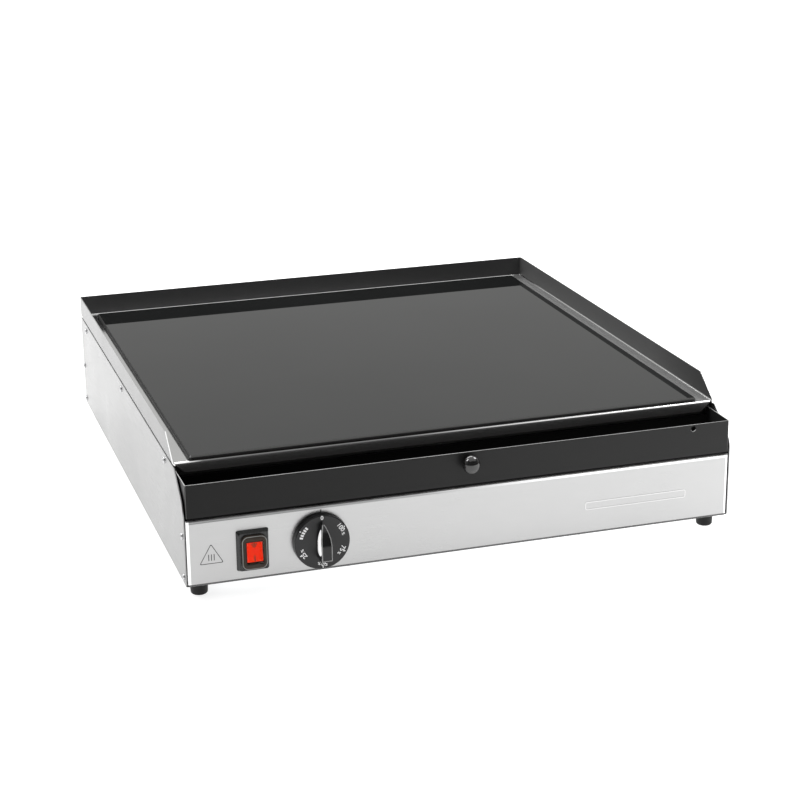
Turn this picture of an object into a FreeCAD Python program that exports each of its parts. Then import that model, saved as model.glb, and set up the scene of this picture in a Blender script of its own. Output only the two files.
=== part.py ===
import FreeCAD, Part
import math
import os

# Counter-top electric griddle: a bevelled glass plate on a folded steel top pan with
# splash guards, a front drip tray, a turning power dial and a sealed rocker switch.
#
# Millimetres. X runs left to right across the front, Z is up from the worktop, and
# depths are measured backwards from the plane of the front panel. export() moves
# everything so that the origin is at the bottom centre of the bounding box.

V = FreeCAD.Vector

# ---------------------------------------------------------------- driving dimensions
WIDTH = 560.0            # over the two side panels
DEPTH = 582.0            # front panel to rear panel
FOOT_HEIGHT = 14.5
PANEL_HEIGHT = 67.0      # front panel, above the underside of the casing
TRAY_RIM = 102.4         # drip tray rim, above the underside
DECK_LEVEL = 109.7       # steel rim around the glass, above the underside
GUARD_LEVEL = 132.5      # top of the splash guards, above the underside
SHEET = 1.0              # casing sheet
BEND = 2.5               # outer bend radius of the casing
SEAM = 1.0               # gap between the side panels and the top pan

UNDER = FOOT_HEIGHT
PANEL_TOP = UNDER + PANEL_HEIGHT
TRAY_TOP = UNDER + TRAY_RIM
DECK_TOP = UNDER + DECK_LEVEL
DECK_LOW = DECK_TOP - SHEET
GUARD_TOP = UNDER + GUARD_LEVEL
SIDE_TOP = DECK_LOW - SEAM
HALF = WIDTH / 2
INNER = HALF - SHEET     # inner face of a side panel

# side profile: the guard slopes down to the front panel
GUARD_FRONT = 70.0       # depth at which the guard reaches its full height
SLOPE = math.radians(36.4)
NOSE_RADIUS = 22.0       # where the slope turns into the upright front edge
CORNER_RADIUS = 3.0      # bottom corners of the side profile

# deck, glass
DECK_FRONT = 42.0
DRIP_LIP = 10.2          # height of the deck's front lip
GLASS_INSET = 17.3       # from the outer skin to the glass, left and right
GLASS_FRONT = 44.6
GLASS_BACK = 568.5
GLASS_THICK = 4.0
GLASS_BEVEL = 1.5
GLASS_CORNER = 3.0
SEAL_THICK = 0.3
SEAT = 8.0               # width of deck under the glass edge
GLASS_LOW = DECK_TOP + SEAL_THICK
GLASS_HALF = HALF - GLASS_INSET

# drip tray
TRAY_HALF = 277.5
TRAY_BACK = 47.5
TRAY_PROUD = 1.0         # front of the tray, forward of the front panel
TRAY_REST = 0.1          # running clearance under the tray
TRAY_BACK_TOP = 108.5    # the back wall passes under the deck's lip
TRAY_LOW = PANEL_TOP + TRAY_REST
KNOB_Z = UNDER + 92.2
KNOB_WIDE = 17.4
KNOB_HIGH = 18.1
KNOB_DEEP = 15.5
POUR_HOLE = (238.0, TRAY_TOP - 4.2)
SHELF_BACK = 50.0

# controls, on the front panel
DIAL_X = -149.0
DIAL_Z = UNDER + 31.6
DIAL_DIAMETER = 55.0
DIAL_GAP = 1.0
DIAL_THICK = 6.6
GRIP_HEIGHT = 15.7
GRIP_WIDTH = 10.6
GRIP_TIP = 21.6
GRIP_TAIL = 14.6
SHAFT_DIAMETER = 6.0
SHAFT_FLAT = 1.5
REG_WIDE = 42.0
REG_HIGH = 36.0
REG_DEEP = 30.0
SWITCH_X = -215.2
SWITCH_Z = UNDER + 30.8
FRAME_WIDE = 31.6
FRAME_HIGH = 41.0
FRAME_DEEP = 5.8
FRAME_DRAFT = 1.8
ROCKER_WIDE = 16.0
ROCKER_HIGH = 21.0
ROCKER_THROW = 14.0      # degrees between off and on
BOOT_WIDE = 24.4
BOOT_HIGH = 33.6

# feet and fixings
FOOT_DIAMETER = 17.5
FOOT_SIDE = 16.0
FOOT_DEPTHS = (19.0, 546.0)
SIDE_SCREW_DEPTHS = (79.5, 313.0, 545.0)
SIDE_SCREW_Z = UNDER + 100.4
EDGE_SCREW_Z = (UNDER + 8.4, UNDER + 49.6)
EDGE_SCREW_DEPTHS = (8.0, 575.5)
SCREW_HEAD = 6.4
SCREW_HEAD_HIGH = 1.7
SCREW_SHANK = 3.5
FLANGE = 30.0            # inward flange along the foot of each side panel
RETURN = 12.0            # returns of the front and rear panels
PAN_HALF = 278.6         # half width of the front and rear panels

# heaters
HEATER_X = (-127.0, 127.0)
HEATER_WIDE = 246.0
HEATER_FRONT = 66.0
HEATER_BACK = 551.0
HEATER_LOW = DECK_TOP - 31.2
HEATER_PAN_TOP = DECK_TOP - 3.2
PAN_SHEET = 0.8
RIM = 12.0
RIBBON_PITCH = 22.0
RIBBON_RUNS = 10
RAIL_DEPTHS = (140.0, 470.0)
RAIL_WIDE = 30.0
RAIL_TOP = HEATER_LOW - 4
RAIL_LOW = HEATER_LOW - 16

# supply
GLAND_X = 200.0
GLAND_Z = UNDER + 26
GLAND_BORE = 8.6
GLAND_THREAD = 16.0
GLAND_REACH = 22.0
WIRE = 3.0

DIAL_REACH = DIAL_GAP + DIAL_THICK + GRIP_HEIGHT
FRONT_Y = -(DIAL_REACH + DEPTH + GLAND_REACH) / 2 + DIAL_REACH

PARTS = {}


# ---------------------------------------------------------------- helpers
def box(x0, x1, y0, y1, z0, z1):
    return Part.makeBox(x1 - x0, y1 - y0, z1 - z0, V(x0, y0, z0))


def rod(x, y, z, radius, length, direction):
    return Part.makeCylinder(radius, length, V(x, y, z), direction)


def along_y(x, z, radius, y0, y1):
    return rod(x, y0, z, radius, y1 - y0, V(0, 1, 0))


def along_z(x, y, radius, z0, z1):
    return rod(x, y, z0, radius, z1 - z0, V(0, 0, 1))


def along_x(y, z, radius, x0, x1):
    return rod(x0, y, z, radius, x1 - x0, V(1, 0, 0))


def union(shapes):
    joined = shapes[0]
    if len(shapes) > 1:
        joined = joined.fuse(shapes[1:])
    return joined.removeSplitter()


def straight_edges(shape, x=None, y=None, z=None):
    """Edges that lie wholly at the coordinates given."""
    found = []
    for edge in shape.Edges:
        b = edge.BoundBox
        near = True
        for low, high, want in ((b.XMin, b.XMax, x), (b.YMin, b.YMax, y), (b.ZMin, b.ZMax, z)):
            if want is not None and (abs(low - want) > 0.01 or abs(high - want) > 0.01):
                near = False
        if near:
            found.append(edge)
    return found


def rounded(shape, radius, *places):
    """Fillet the straight edges at each place, given as a dict of x, y, z."""
    edges = []
    for place in places:
        edges += straight_edges(shape, **place)
    return shape.makeFillet(radius, edges)


def mirrored(shape):
    return shape.mirror(V(0, 0, 0), V(1, 0, 0))


def plate_outline(points, x0, x1):
    """Prism from an outline of (depth, height) points, between two X planes."""
    loop = [V(x0, y, z) for y, z in points]
    face = Part.Face(Part.makePolygon(loop + [loop[0]]))
    return face.extrude(V(x1 - x0, 0, 0))


def rounded_slab(x, z, wide, high, radius, y0, y1):
    """Block with rounded upright edges, seen from the front, between two depths."""
    block = box(x - wide / 2, x + wide / 2, y0, y1, z - high / 2, z + high / 2)
    edges = []
    for sx in (-1, 1):
        for sz in (-1, 1):
            edges += straight_edges(block, x=x + sx * wide / 2, z=z + sz * high / 2)
    return block.makeFillet(radius, edges)


def side_profile(x0, x1):
    """The casing's silhouette from the side, as a prism between two X planes."""
    tan_slope = math.tan(SLOPE)
    meet_z = GUARD_TOP - GUARD_FRONT * tan_slope
    tangent = NOSE_RADIUS * math.tan((math.pi / 2 - SLOPE) / 2)
    low = V(x0, 0, meet_z - tangent)
    high = V(x0, tangent * math.cos(SLOPE), meet_z + tangent * math.sin(SLOPE))
    middle_angle = math.pi - (math.pi / 2 - SLOPE) / 2
    centre = V(x0, NOSE_RADIUS, meet_z - tangent)
    middle = centre + V(0, NOSE_RADIUS * math.cos(middle_angle), NOSE_RADIUS * math.sin(middle_angle))
    top_front = V(x0, GUARD_FRONT, GUARD_TOP)
    top_back = V(x0, DEPTH, GUARD_TOP)
    foot_back = V(x0, DEPTH, UNDER)
    foot_front = V(x0, 0, UNDER)
    edges = [
        Part.makeLine(foot_front, low),
        Part.Arc(low, middle, high).toShape(),
        Part.makeLine(high, top_front),
        Part.makeLine(top_front, top_back),
        Part.makeLine(top_back, foot_back),
        Part.makeLine(foot_back, foot_front),
    ]
    solid = Part.Face(Part.Wire(edges)).extrude(V(x1 - x0, 0, 0))
    return rounded(solid, CORNER_RADIUS, dict(y=0, z=UNDER), dict(y=DEPTH, z=UNDER))


def pan_screw(x, y, z, direction, shank, head=SCREW_HEAD, high=SCREW_HEAD_HIGH, across=SCREW_SHANK):
    """Pan-head screw: its head sits on (x, y, z), and its shank runs along direction."""
    seat = V(x, y, z)
    body = Part.makeCylinder(across / 2, shank, seat, direction)
    cap = Part.makeCylinder(head / 2, high, seat - direction * high, direction)
    rim = [e for e in cap.Edges if e.isClosed() and (e.CenterOfMass - seat).Length > high * 0.9]
    cap = cap.makeFillet(high * 0.7, rim)
    slot_wide = 0.8
    slot_deep = high * 0.5
    outer = seat - direction * high
    side = V(0, 0, 1)
    if abs(direction.z) > 0.5:
        side = V(0, 1, 0)
    cross = direction.cross(side)
    cuts = []
    for a, b in ((side, cross), (cross, side)):
        corner = outer - a * head * 0.28 - b * slot_wide / 2
        loop = [corner, corner + a * head * 0.56, corner + a * head * 0.56 + b * slot_wide,
                corner + b * slot_wide]
        face = Part.Face(Part.makePolygon(loop + [loop[0]]))
        cuts.append(face.extrude(direction * slot_deep))
    return union([body, cap]).cut(cuts)


def hex_nut(x, y, z, direction, across, thick, bore):
    """Hexagon nut with one face centred on (x, y, z), growing along direction."""
    radius = across / math.sqrt(3)
    side = V(1, 0, 0)
    up = direction.cross(side)
    loop = []
    for k in range(6):
        angle = math.radians(60 * k)
        loop.append(V(x, y, z) + side * radius * math.cos(angle) + up * radius * math.sin(angle))
    body = Part.Face(Part.makePolygon(loop + [loop[0]])).extrude(direction * thick)
    return body.cut(Part.makeCylinder(bore / 2, thick, V(x, y, z), direction))


def cable(points, diameter):
    """Round cable along straight runs joined by the largest tangent arcs that fit."""
    corners = [V(*p) for p in points]
    edges = []
    here = corners[0]
    for k in range(1, len(corners) - 1):
        into = corners[k] - corners[k - 1]
        away = corners[k + 1] - corners[k]
        run = min(into.Length, away.Length)
        into.normalize()
        away.normalize()
        turn = into.getAngle(away)
        reach = 0.45 * run
        radius = reach / math.tan(turn / 2)
        start = corners[k] - into * reach
        end = corners[k] + away * reach
        bisector = away - into
        bisector.normalize()
        centre = corners[k] + bisector * (radius / math.cos(turn / 2))
        middle = centre - bisector * radius
        edges.append(Part.makeLine(here, start))
        edges.append(Part.Arc(start, middle, end).toShape())
        here = end
    edges.append(Part.makeLine(here, corners[-1]))
    path = Part.Wire(edges)
    heading = corners[1] - corners[0]
    ring = Part.Wire(Part.Circle(corners[0], heading, diameter / 2).toShape())
    solid = path.makePipeShell([ring], True, True)
    print("cable %5.1f mm long" % path.Length)
    return solid


def save(name, shape):
    PARTS[name] = shape


# ---------------------------------------------------------------- casing
def folded_panel(y_face, into, top):
    """Front or rear panel: a shallow folded pan whose face lies at y_face."""
    y_edge = y_face + into * (RETURN + SHEET)
    low_y, high_y = min(y_face, y_edge), max(y_face, y_edge)
    outer = box(-PAN_HALF, PAN_HALF, low_y, high_y, UNDER, top)
    places = [dict(x=-PAN_HALF, y=y_face), dict(x=PAN_HALF, y=y_face),
              dict(y=y_face, z=UNDER), dict(y=y_face, z=top)]
    outer = rounded(outer, BEND - 0.5, *places)
    inner_face = y_face + into * SHEET
    past = y_edge + into
    inner_y = sorted((inner_face, past))
    inner = box(-PAN_HALF + SHEET, PAN_HALF - SHEET, inner_y[0], inner_y[1], UNDER + SHEET, top - SHEET)
    places = [dict(x=-PAN_HALF + SHEET, y=inner_face), dict(x=PAN_HALF - SHEET, y=inner_face),
              dict(y=inner_face, z=UNDER + SHEET), dict(y=inner_face, z=top - SHEET)]
    inner = rounded(inner, BEND - 0.5 - SHEET, *places)
    panel = outer.cut(inner)
    # the side panels' foot flanges pass under the returns
    clear_y = sorted((y_face + into * 2.2, past))
    clear = []
    for sign in (-1, 1):
        edges = sorted((sign * (INNER - FLANGE - 0.4), sign * HALF))
        clear.append(box(edges[0], edges[1], clear_y[0], clear_y[1], UNDER - 1, UNDER + 2.7))
        edges = sorted((sign * (INNER - BEND + SHEET - 0.2), sign * HALF))
        clear.append(box(edges[0], edges[1], low_y - 1, high_y + 1, UNDER - 1, UNDER + 2.7))
        for z in EDGE_SCREW_Z:
            depth = EDGE_SCREW_DEPTHS[0] if into > 0 else EDGE_SCREW_DEPTHS[1]
            clear.append(along_x(depth, z, SCREW_SHANK / 2 + 0.05, edges[0] - 3, edges[1]))
    return panel.cut(clear)


def make_front_panel():
    panel = folded_panel(0, 1, PANEL_TOP)
    cuts = [along_y(DIAL_X, DIAL_Z, 5.0, -1, 2)]
    for sign in (-1, 1):
        cuts.append(along_y(DIAL_X + sign * 14, DIAL_Z, 2.1, -1, 2))
    cuts.append(box(SWITCH_X - 11.1, SWITCH_X + 11.1, -1, 2, SWITCH_Z - 15.1, SWITCH_Z + 15.1))
    for x in (-120, 120):
        cuts.append(along_z(x, 8, 2.1, UNDER - 1, UNDER + 2))
    return panel.cut(cuts)


def make_rear_panel():
    panel = folded_panel(DEPTH, -1, SIDE_TOP)
    cuts = [along_y(GLAND_X, GLAND_Z, GLAND_THREAD / 2 + 0.05, DEPTH - 2, DEPTH + 1)]
    cuts.append(along_y(EARTH_X, GLAND_Z, 2.6, DEPTH - 2, DEPTH + 1))
    slot_wide, slot_high, pitch = 4.0, 26.0, 12.0
    for centre in (-150, 0, 150):
        for k in range(9):
            x = centre + (k - 4) * pitch
            slot = rounded_slab(x, UNDER + 72, slot_wide, slot_high, slot_wide / 2 - 0.01, DEPTH - 2, DEPTH + 1)
            cuts.append(slot)
    for x in (-120, 120):
        cuts.append(along_z(x, DEPTH - 8, 2.1, UNDER - 1, UNDER + 2))
    return panel.cut(cuts)


def make_side_panel():
    """Right-hand panel: upright skin, rounded into an inward flange at its foot."""
    outer = box(INNER - FLANGE, HALF, -1, DEPTH + 1, UNDER, SIDE_TOP)
    outer = rounded(outer, BEND, dict(x=HALF, z=UNDER))
    inner = box(INNER - FLANGE - 1, INNER, -2, DEPTH + 2, UNDER + SHEET, SIDE_TOP + 1)
    inner = rounded(inner, BEND - SHEET, dict(x=INNER, z=UNDER + SHEET))
    panel = outer.cut(inner).common(side_profile(0, HALF + 1))
    inside = INNER - BEND + SHEET
    cuts = [box(0, inside, -1, 2.5, UNDER - 1, UNDER + 3),
            box(0, inside, DEPTH - 2.5, DEPTH + 1, UNDER - 1, UNDER + 3)]
    for depth in SIDE_SCREW_DEPTHS:
        cuts.append(along_x(depth, SIDE_SCREW_Z, SCREW_SHANK / 2 + 0.1, INNER - 2, HALF + 2))
    for depth in EDGE_SCREW_DEPTHS:
        for z in EDGE_SCREW_Z:
            cuts.append(along_x(depth, z, SCREW_SHANK / 2 + 0.1, INNER - 2, HALF + 2))
    for depth in FOOT_DEPTHS:
        cuts.append(along_z(HALF - FOOT_SIDE, depth, 2.1, UNDER - 1, UNDER + 2))
    for depth in BOTTOM_SCREW_DEPTHS:
        cuts.append(along_z(HALF - FOOT_SIDE, depth, 2.1, UNDER - 1, UNDER + 2))
    return panel.cut(cuts)


def make_bottom_plate():
    low = UNDER + SHEET
    plate = box(-277, 277, 2.6, DEPTH - 2.6, low, low + SHEET)
    cuts = []
    slot_wide, slot_long, pitch = 4.0, 46.0, 11.0
    for row in (140, 210, 420, 490):
        for k in range(31):
            x = (k - 15) * pitch
            slot = box(x - slot_wide / 2, x + slot_wide / 2, row, row + slot_long, low - 1, low + 2)
            cuts.append(slot)
    for sign in (-1, 1):
        for depth in FOOT_DEPTHS + BOTTOM_SCREW_DEPTHS:
            cuts.append(along_z(sign * (HALF - FOOT_SIDE), depth, 2.1, low - 1, low + 2))
    for x in (-120, 120):
        for depth in (8, DEPTH - 8):
            cuts.append(along_z(x, depth, 2.1, low - 1, low + 2))
    return plate.cut(cuts)


def make_deck():
    """Top pan in one sheet: deck, three splash guards, glass opening and front lip."""
    outer = box(-HALF, HALF, DECK_FRONT - 5, DEPTH, DECK_LOW, GUARD_TOP)
    outer = rounded(outer, BEND, dict(x=-HALF, z=DECK_LOW), dict(x=HALF, z=DECK_LOW),
                    dict(y=DEPTH, z=DECK_LOW), dict(x=-HALF, y=DEPTH), dict(x=HALF, y=DEPTH))
    back = DEPTH - SHEET
    inner = box(-INNER, INNER, DECK_FRONT - 6, back, DECK_TOP, GUARD_TOP + 1)
    inner = rounded(inner, BEND - SHEET, dict(x=-INNER, z=DECK_TOP), dict(x=INNER, z=DECK_TOP),
                    dict(y=back, z=DECK_TOP), dict(x=-INNER, y=back), dict(x=INNER, y=back))
    pan = outer.cut(inner).common(side_profile(-HALF, HALF))
    bend_back = DECK_FRONT + BEND + 2
    pan = pan.cut(box(-INNER + 1.5, INNER - 1.5, 0, bend_back, DECK_LOW - 1, DECK_TOP + 1))
    # front lip, bent down, with its ends cut at 45 degrees
    lip_low = DECK_TOP - DRIP_LIP
    lip = box(-INNER + 1.5, INNER - 1.5, DECK_FRONT, bend_back, lip_low, DECK_TOP)
    lip = rounded(lip, BEND, dict(y=DECK_FRONT, z=DECK_TOP))
    hollow = box(-INNER, INNER, DECK_FRONT + SHEET, bend_back + 1, lip_low - 1, DECK_LOW)
    hollow = rounded(hollow, BEND - SHEET, dict(y=DECK_FRONT + SHEET, z=DECK_LOW))
    lip = lip.cut(hollow)
    for sign in (-1, 1):
        edge = sign * (INNER - 1.5)
        loop = [V(edge, DECK_FRONT - 1, DECK_TOP - 1.2), V(edge, DECK_FRONT - 1, lip_low - 1),
                V(edge - sign * (DRIP_LIP + 1), DECK_FRONT - 1, lip_low - 1)]
        corner = Part.Face(Part.makePolygon(loop + [loop[0]])).extrude(V(0, 4, 0))
        lip = lip.cut(corner)
    deck = union([pan, lip])
    half = GLASS_HALF - SEAT
    opening = box(-half, half, GLASS_FRONT + SEAT, GLASS_BACK - SEAT, DECK_LOW - 1, DECK_TOP + 1)
    return deck.cut(opening)


def make_deck_bracket():
    """Right-hand angle under the deck that takes the casing's side screws."""
    wall = box(INNER - 1.2, INNER - 0.2, 62, DEPTH - 16, DECK_LOW - 18, DECK_LOW)
    top = box(INNER - 14, INNER - 0.2, 62, DEPTH - 16, DECK_LOW - SHEET, DECK_LOW)
    angle = union([wall, top])
    angle = rounded(angle, BEND - 1, dict(x=INNER - 0.2, z=DECK_LOW))
    holes = []
    for depth in SIDE_SCREW_DEPTHS:
        holes.append(along_x(depth, SIDE_SCREW_Z, SCREW_SHANK / 2 + 0.03, INNER - 3, INNER + 1))
    return angle.cut(holes)


def make_rear_bracket():
    """Angle under the back of the deck, resting on the rear panel's top return."""
    face = DEPTH - RETURN - SHEET - 1.0
    wall = box(-262, 262, face - SHEET, face, DECK_LOW - 18, DECK_LOW)
    top = box(-262, 262, face - SHEET, DEPTH - 3, DECK_LOW - SHEET, DECK_LOW)
    return union([wall, top])


def make_glass():
    slab = box(-GLASS_HALF, GLASS_HALF, GLASS_FRONT, GLASS_BACK, GLASS_LOW, GLASS_LOW + GLASS_THICK)
    corners = []
    for x in (-GLASS_HALF, GLASS_HALF):
        for y in (GLASS_FRONT, GLASS_BACK):
            corners.append(dict(x=x, y=y))
    slab = rounded(slab, GLASS_CORNER, *corners)
    top = [e for e in slab.Edges if e.BoundBox.ZMin > GLASS_LOW + GLASS_THICK - 0.01]
    return slab.makeChamfer(GLASS_BEVEL, top)


def make_seal():
    inset = 1.5
    outer = box(-GLASS_HALF + inset, GLASS_HALF - inset, GLASS_FRONT + inset, GLASS_BACK - inset,
                DECK_TOP, GLASS_LOW)
    wide = SEAT - 1
    inner = box(-GLASS_HALF + wide, GLASS_HALF - wide, GLASS_FRONT + wide, GLASS_BACK - wide,
                DECK_TOP - 1, GLASS_LOW + 1)
    return outer.cut(inner)


def make_tray_shelf():
    """Shelf under the drip tray, turned up at the back into a wall below the deck."""
    shelf_top = PANEL_TOP - SHEET
    outer = box(-277, 277, 2.2, SHELF_BACK + SHEET, shelf_top - SHEET, DECK_LOW)
    outer = rounded(outer, BEND, dict(y=SHELF_BACK + SHEET, z=shelf_top - SHEET))
    inner = box(-278, 278, 0, SHELF_BACK, shelf_top, DECK_LOW + 1)
    inner = rounded(inner, BEND - SHEET, dict(y=SHELF_BACK, z=shelf_top))
    return outer.cut(inner)


# ---------------------------------------------------------------- drip tray
def make_tray():
    front = -TRAY_PROUD
    outer = box(-TRAY_HALF, TRAY_HALF, front, TRAY_BACK, TRAY_LOW, TRAY_TOP)
    places = [dict(y=front, z=TRAY_LOW), dict(y=TRAY_BACK, z=TRAY_LOW),
              dict(x=-TRAY_HALF, z=TRAY_LOW), dict(x=TRAY_HALF, z=TRAY_LOW)]
    for x in (-TRAY_HALF, TRAY_HALF):
        for y in (front, TRAY_BACK):
            places.append(dict(x=x, y=y))
    outer = rounded(outer, 1.8, *places)
    wide = TRAY_HALF - SHEET
    inner = box(-wide, wide, front + SHEET, TRAY_BACK - SHEET, TRAY_LOW + SHEET, TRAY_TOP + 1)
    places = [dict(y=front + SHEET, z=TRAY_LOW + SHEET), dict(y=TRAY_BACK - SHEET, z=TRAY_LOW + SHEET),
              dict(x=-wide, z=TRAY_LOW + SHEET), dict(x=wide, z=TRAY_LOW + SHEET)]
    for x in (-wide, wide):
        for y in (front + SHEET, TRAY_BACK - SHEET):
            places.append(dict(x=x, y=y))
    inner = rounded(inner, 0.8, *places)
    tray = outer.cut(inner)
    cuts = [box(-wide + 1, wide - 1, TRAY_BACK - 2.5, TRAY_BACK + 1, TRAY_BACK_TOP, TRAY_TOP + 1),
            along_y(POUR_HOLE[0], POUR_HOLE[1], 2.75, front - 1, front + 3),
            along_y(0, KNOB_Z, 2.1, front - 1, front + 3)]
    return tray.cut(cuts)


def make_tray_knob():
    """Ball-like knob, slightly flattened, on a short neck with a blind thread from behind."""
    centre_y = -TRAY_PROUD - 8.4
    unit = Part.makeSphere(1.0)
    stretch = FreeCAD.Matrix()
    stretch.scale(KNOB_WIDE / 2, KNOB_DEEP / 2, KNOB_HIGH / 2)
    body = unit.transformGeometry(stretch)
    body.translate(V(0, centre_y, KNOB_Z))
    neck = along_y(0, KNOB_Z, 4.6, centre_y + 4, -TRAY_PROUD)
    knob = body.fuse(neck)
    return knob.cut(along_y(0, KNOB_Z, 2.05, centre_y - 1, 0))


# ---------------------------------------------------------------- dial and regulator
def grip_outline():
    """Pointed-arch outline of the grip, as seen from the front, in X and Z."""
    half = GRIP_WIDTH / 2
    spring = 2.0
    left_low = V(DIAL_X - half, 0, DIAL_Z - GRIP_TAIL)
    left_high = V(DIAL_X - half, 0, DIAL_Z + spring)
    tip = V(DIAL_X, 0, DIAL_Z + GRIP_TIP)
    right_high = V(DIAL_X + half, 0, DIAL_Z + spring)
    right_low = V(DIAL_X + half, 0, DIAL_Z - GRIP_TAIL)
    # each side of the arch is an arc, tangent to the upright side below it
    rise = GRIP_TIP - spring
    radius = (rise * rise + half * half) / (2 * half)
    half_sweep = math.asin(rise / radius) / 2
    out = half - radius * (1 - math.cos(half_sweep))
    up = spring + radius * math.sin(half_sweep)
    left_mid = V(DIAL_X - out, 0, DIAL_Z + up)
    right_mid = V(DIAL_X + out, 0, DIAL_Z + up)
    return Part.Wire([
        Part.makeLine(left_low, left_high),
        Part.Arc(left_high, left_mid, tip).toShape(),
        Part.Arc(tip, right_mid, right_high).toShape(),
        Part.makeLine(right_high, right_low),
        Part.makeLine(right_low, left_low),
    ])


def make_dial():
    back = -DIAL_GAP
    face = back - DIAL_THICK
    radius = DIAL_DIAMETER / 2
    disc = Part.makeCone(radius, radius - 0.4, DIAL_THICK, V(DIAL_X, back, DIAL_Z), V(0, -1, 0))
    rim = [e for e in disc.Edges if e.isClosed() and abs(e.CenterOfMass.y - face) < 0.01]
    disc = disc.makeFillet(1.0, rim)
    # grip: pointed-arch plan, sloping from the tip up to its full height
    front = face - GRIP_HEIGHT
    plan = Part.Face(grip_outline()).extrude(V(0, -GRIP_HEIGHT - 1, 0))
    plan.translate(V(0, face + 1, 0))
    x0 = DIAL_X - GRIP_WIDTH
    tip = V(x0, face + 1, DIAL_Z + GRIP_TIP + 1)
    low_tip = V(x0, face, DIAL_Z + GRIP_TIP + 1)
    rising = V(x0, front + 4.2, DIAL_Z + 11.5)
    crest = V(x0, front, DIAL_Z + 1.0)
    tail = V(x0, front, DIAL_Z - GRIP_TAIL + 1.5)
    heel = V(x0, front + 1.5, DIAL_Z - GRIP_TAIL)
    foot = V(x0, face + 1, DIAL_Z - GRIP_TAIL)
    profile = Part.Wire([
        Part.makeLine(tip, low_tip),
        Part.Arc(low_tip, rising, crest).toShape(),
        Part.makeLine(crest, tail),
        Part.makeLine(tail, heel),
        Part.makeLine(heel, foot),
        Part.makeLine(foot, tip),
    ])
    grip = plan.common(Part.Face(profile).extrude(V(2 * GRIP_WIDTH, 0, 0)))
    dial = union([disc, grip])
    hollow = along_y(DIAL_X, DIAL_Z, radius - 2.2, face + 2.4, back + 1)
    boss = along_y(DIAL_X, DIAL_Z, 6.5, face, back)
    hollow = hollow.cut(boss)
    bore = along_y(DIAL_X, DIAL_Z, SHAFT_DIAMETER / 2 + 0.03, SHAFT_FRONT - 0.5, back + 1)
    keep_flat = box(DIAL_X - 4, DIAL_X + 4, SHAFT_FRONT - 1, back + 2,
                    DIAL_Z - SHAFT_DIAMETER, DIAL_Z - SHAFT_DIAMETER / 2 + SHAFT_FLAT - 0.55)
    bore = bore.cut(keep_flat)
    return dial.cut([hollow, bore])


def make_dial_clip():
    """Flat spring between the shaft's flat and the dial's bore."""
    flat_z = DIAL_Z - SHAFT_DIAMETER / 2 + SHAFT_FLAT
    return box(DIAL_X - 1.8, DIAL_X + 1.8, SHAFT_FRONT, -DIAL_GAP - 0.3, flat_z - 0.5, flat_z - 0.04)


def make_regulator_shaft():
    shaft = along_y(DIAL_X, DIAL_Z, SHAFT_DIAMETER / 2, SHAFT_FRONT, REG_BACK - 2.5)
    flat = box(DIAL_X - 4, DIAL_X + 4, SHAFT_FRONT - 1, -DIAL_GAP,
               DIAL_Z - SHAFT_DIAMETER, DIAL_Z - SHAFT_DIAMETER / 2 + SHAFT_FLAT)
    return shaft.cut(flat)


def make_regulator_cam():
    """Snail cam whose radius grows as the power does."""
    low, high, steps = 7.0, 12.0, 36
    loop = []
    for k in range(steps):
        angle = 2 * math.pi * k / steps
        radius = low + (high - low) * k / steps
        loop.append(V(DIAL_X + radius * math.sin(angle), CAM_FRONT, DIAL_Z + radius * math.cos(angle)))
    curve = Part.BSplineCurve()
    curve.interpolate(loop)
    step = Part.makeLine(loop[-1], loop[0])
    cam = Part.Face(Part.Wire([curve.toShape(), step])).extrude(V(0, 5, 0))
    return cam.cut(along_y(DIAL_X, DIAL_Z, SHAFT_DIAMETER / 2, CAM_FRONT - 1, CAM_FRONT + 7))


def make_regulator_housing():
    front = SHEET
    body = box(DIAL_X - REG_WIDE / 2, DIAL_X + REG_WIDE / 2, front, REG_BACK - 2,
               DIAL_Z - REG_HIGH / 2, DIAL_Z + REG_HIGH / 2)
    wall = 2.0
    cavity = box(DIAL_X - REG_WIDE / 2 + wall, DIAL_X + REG_WIDE / 2 - wall, front + 6, REG_BACK,
                 DIAL_Z - REG_HIGH / 2 + wall, DIAL_Z + REG_HIGH / 2 - wall)
    cuts = [cavity, along_y(DIAL_X, DIAL_Z, SHAFT_DIAMETER / 2 + 0.05, 0, 9)]
    for sign in (-1, 1):
        cuts.append(along_y(DIAL_X + sign * 14, DIAL_Z, 2.03, 0, 6))
    collar = along_y(DIAL_X, DIAL_Z, 4.9, 0.2, front)
    return union([body, collar]).cut(cuts)


def make_regulator_cover():
    cover = box(DIAL_X - REG_WIDE / 2, DIAL_X + REG_WIDE / 2, REG_BACK - 2, REG_BACK,
                DIAL_Z - REG_HIGH / 2, DIAL_Z + REG_HIGH / 2)
    slots = []
    for x, z in TAB_PLACES:
        slots.append(box(DIAL_X + x - 0.4, DIAL_X + x + 0.4, REG_BACK - 3, REG_BACK + 1,
                         DIAL_Z + z - 3.15, DIAL_Z + z + 3.15))
    return cover.cut(slots)


def make_regulator_terminals():
    tabs = []
    for x, z in TAB_PLACES:
        tabs.append(box(DIAL_X + x - 0.4, DIAL_X + x + 0.4, REG_BACK - 5, REG_BACK + 9,
                        DIAL_Z + z - 3.15, DIAL_Z + z + 3.15))
    return Part.makeCompound(tabs)


def make_regulator_screws():
    screws = []
    for sign in (-1, 1):
        seat = V(DIAL_X + sign * 14, 0, DIAL_Z)
        screws.append(pan_screw(seat.x, 0, seat.z, V(0, 1, 0), 5.8, 6.0, 0.9, 4.0))
    return Part.makeCompound(screws)


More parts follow.
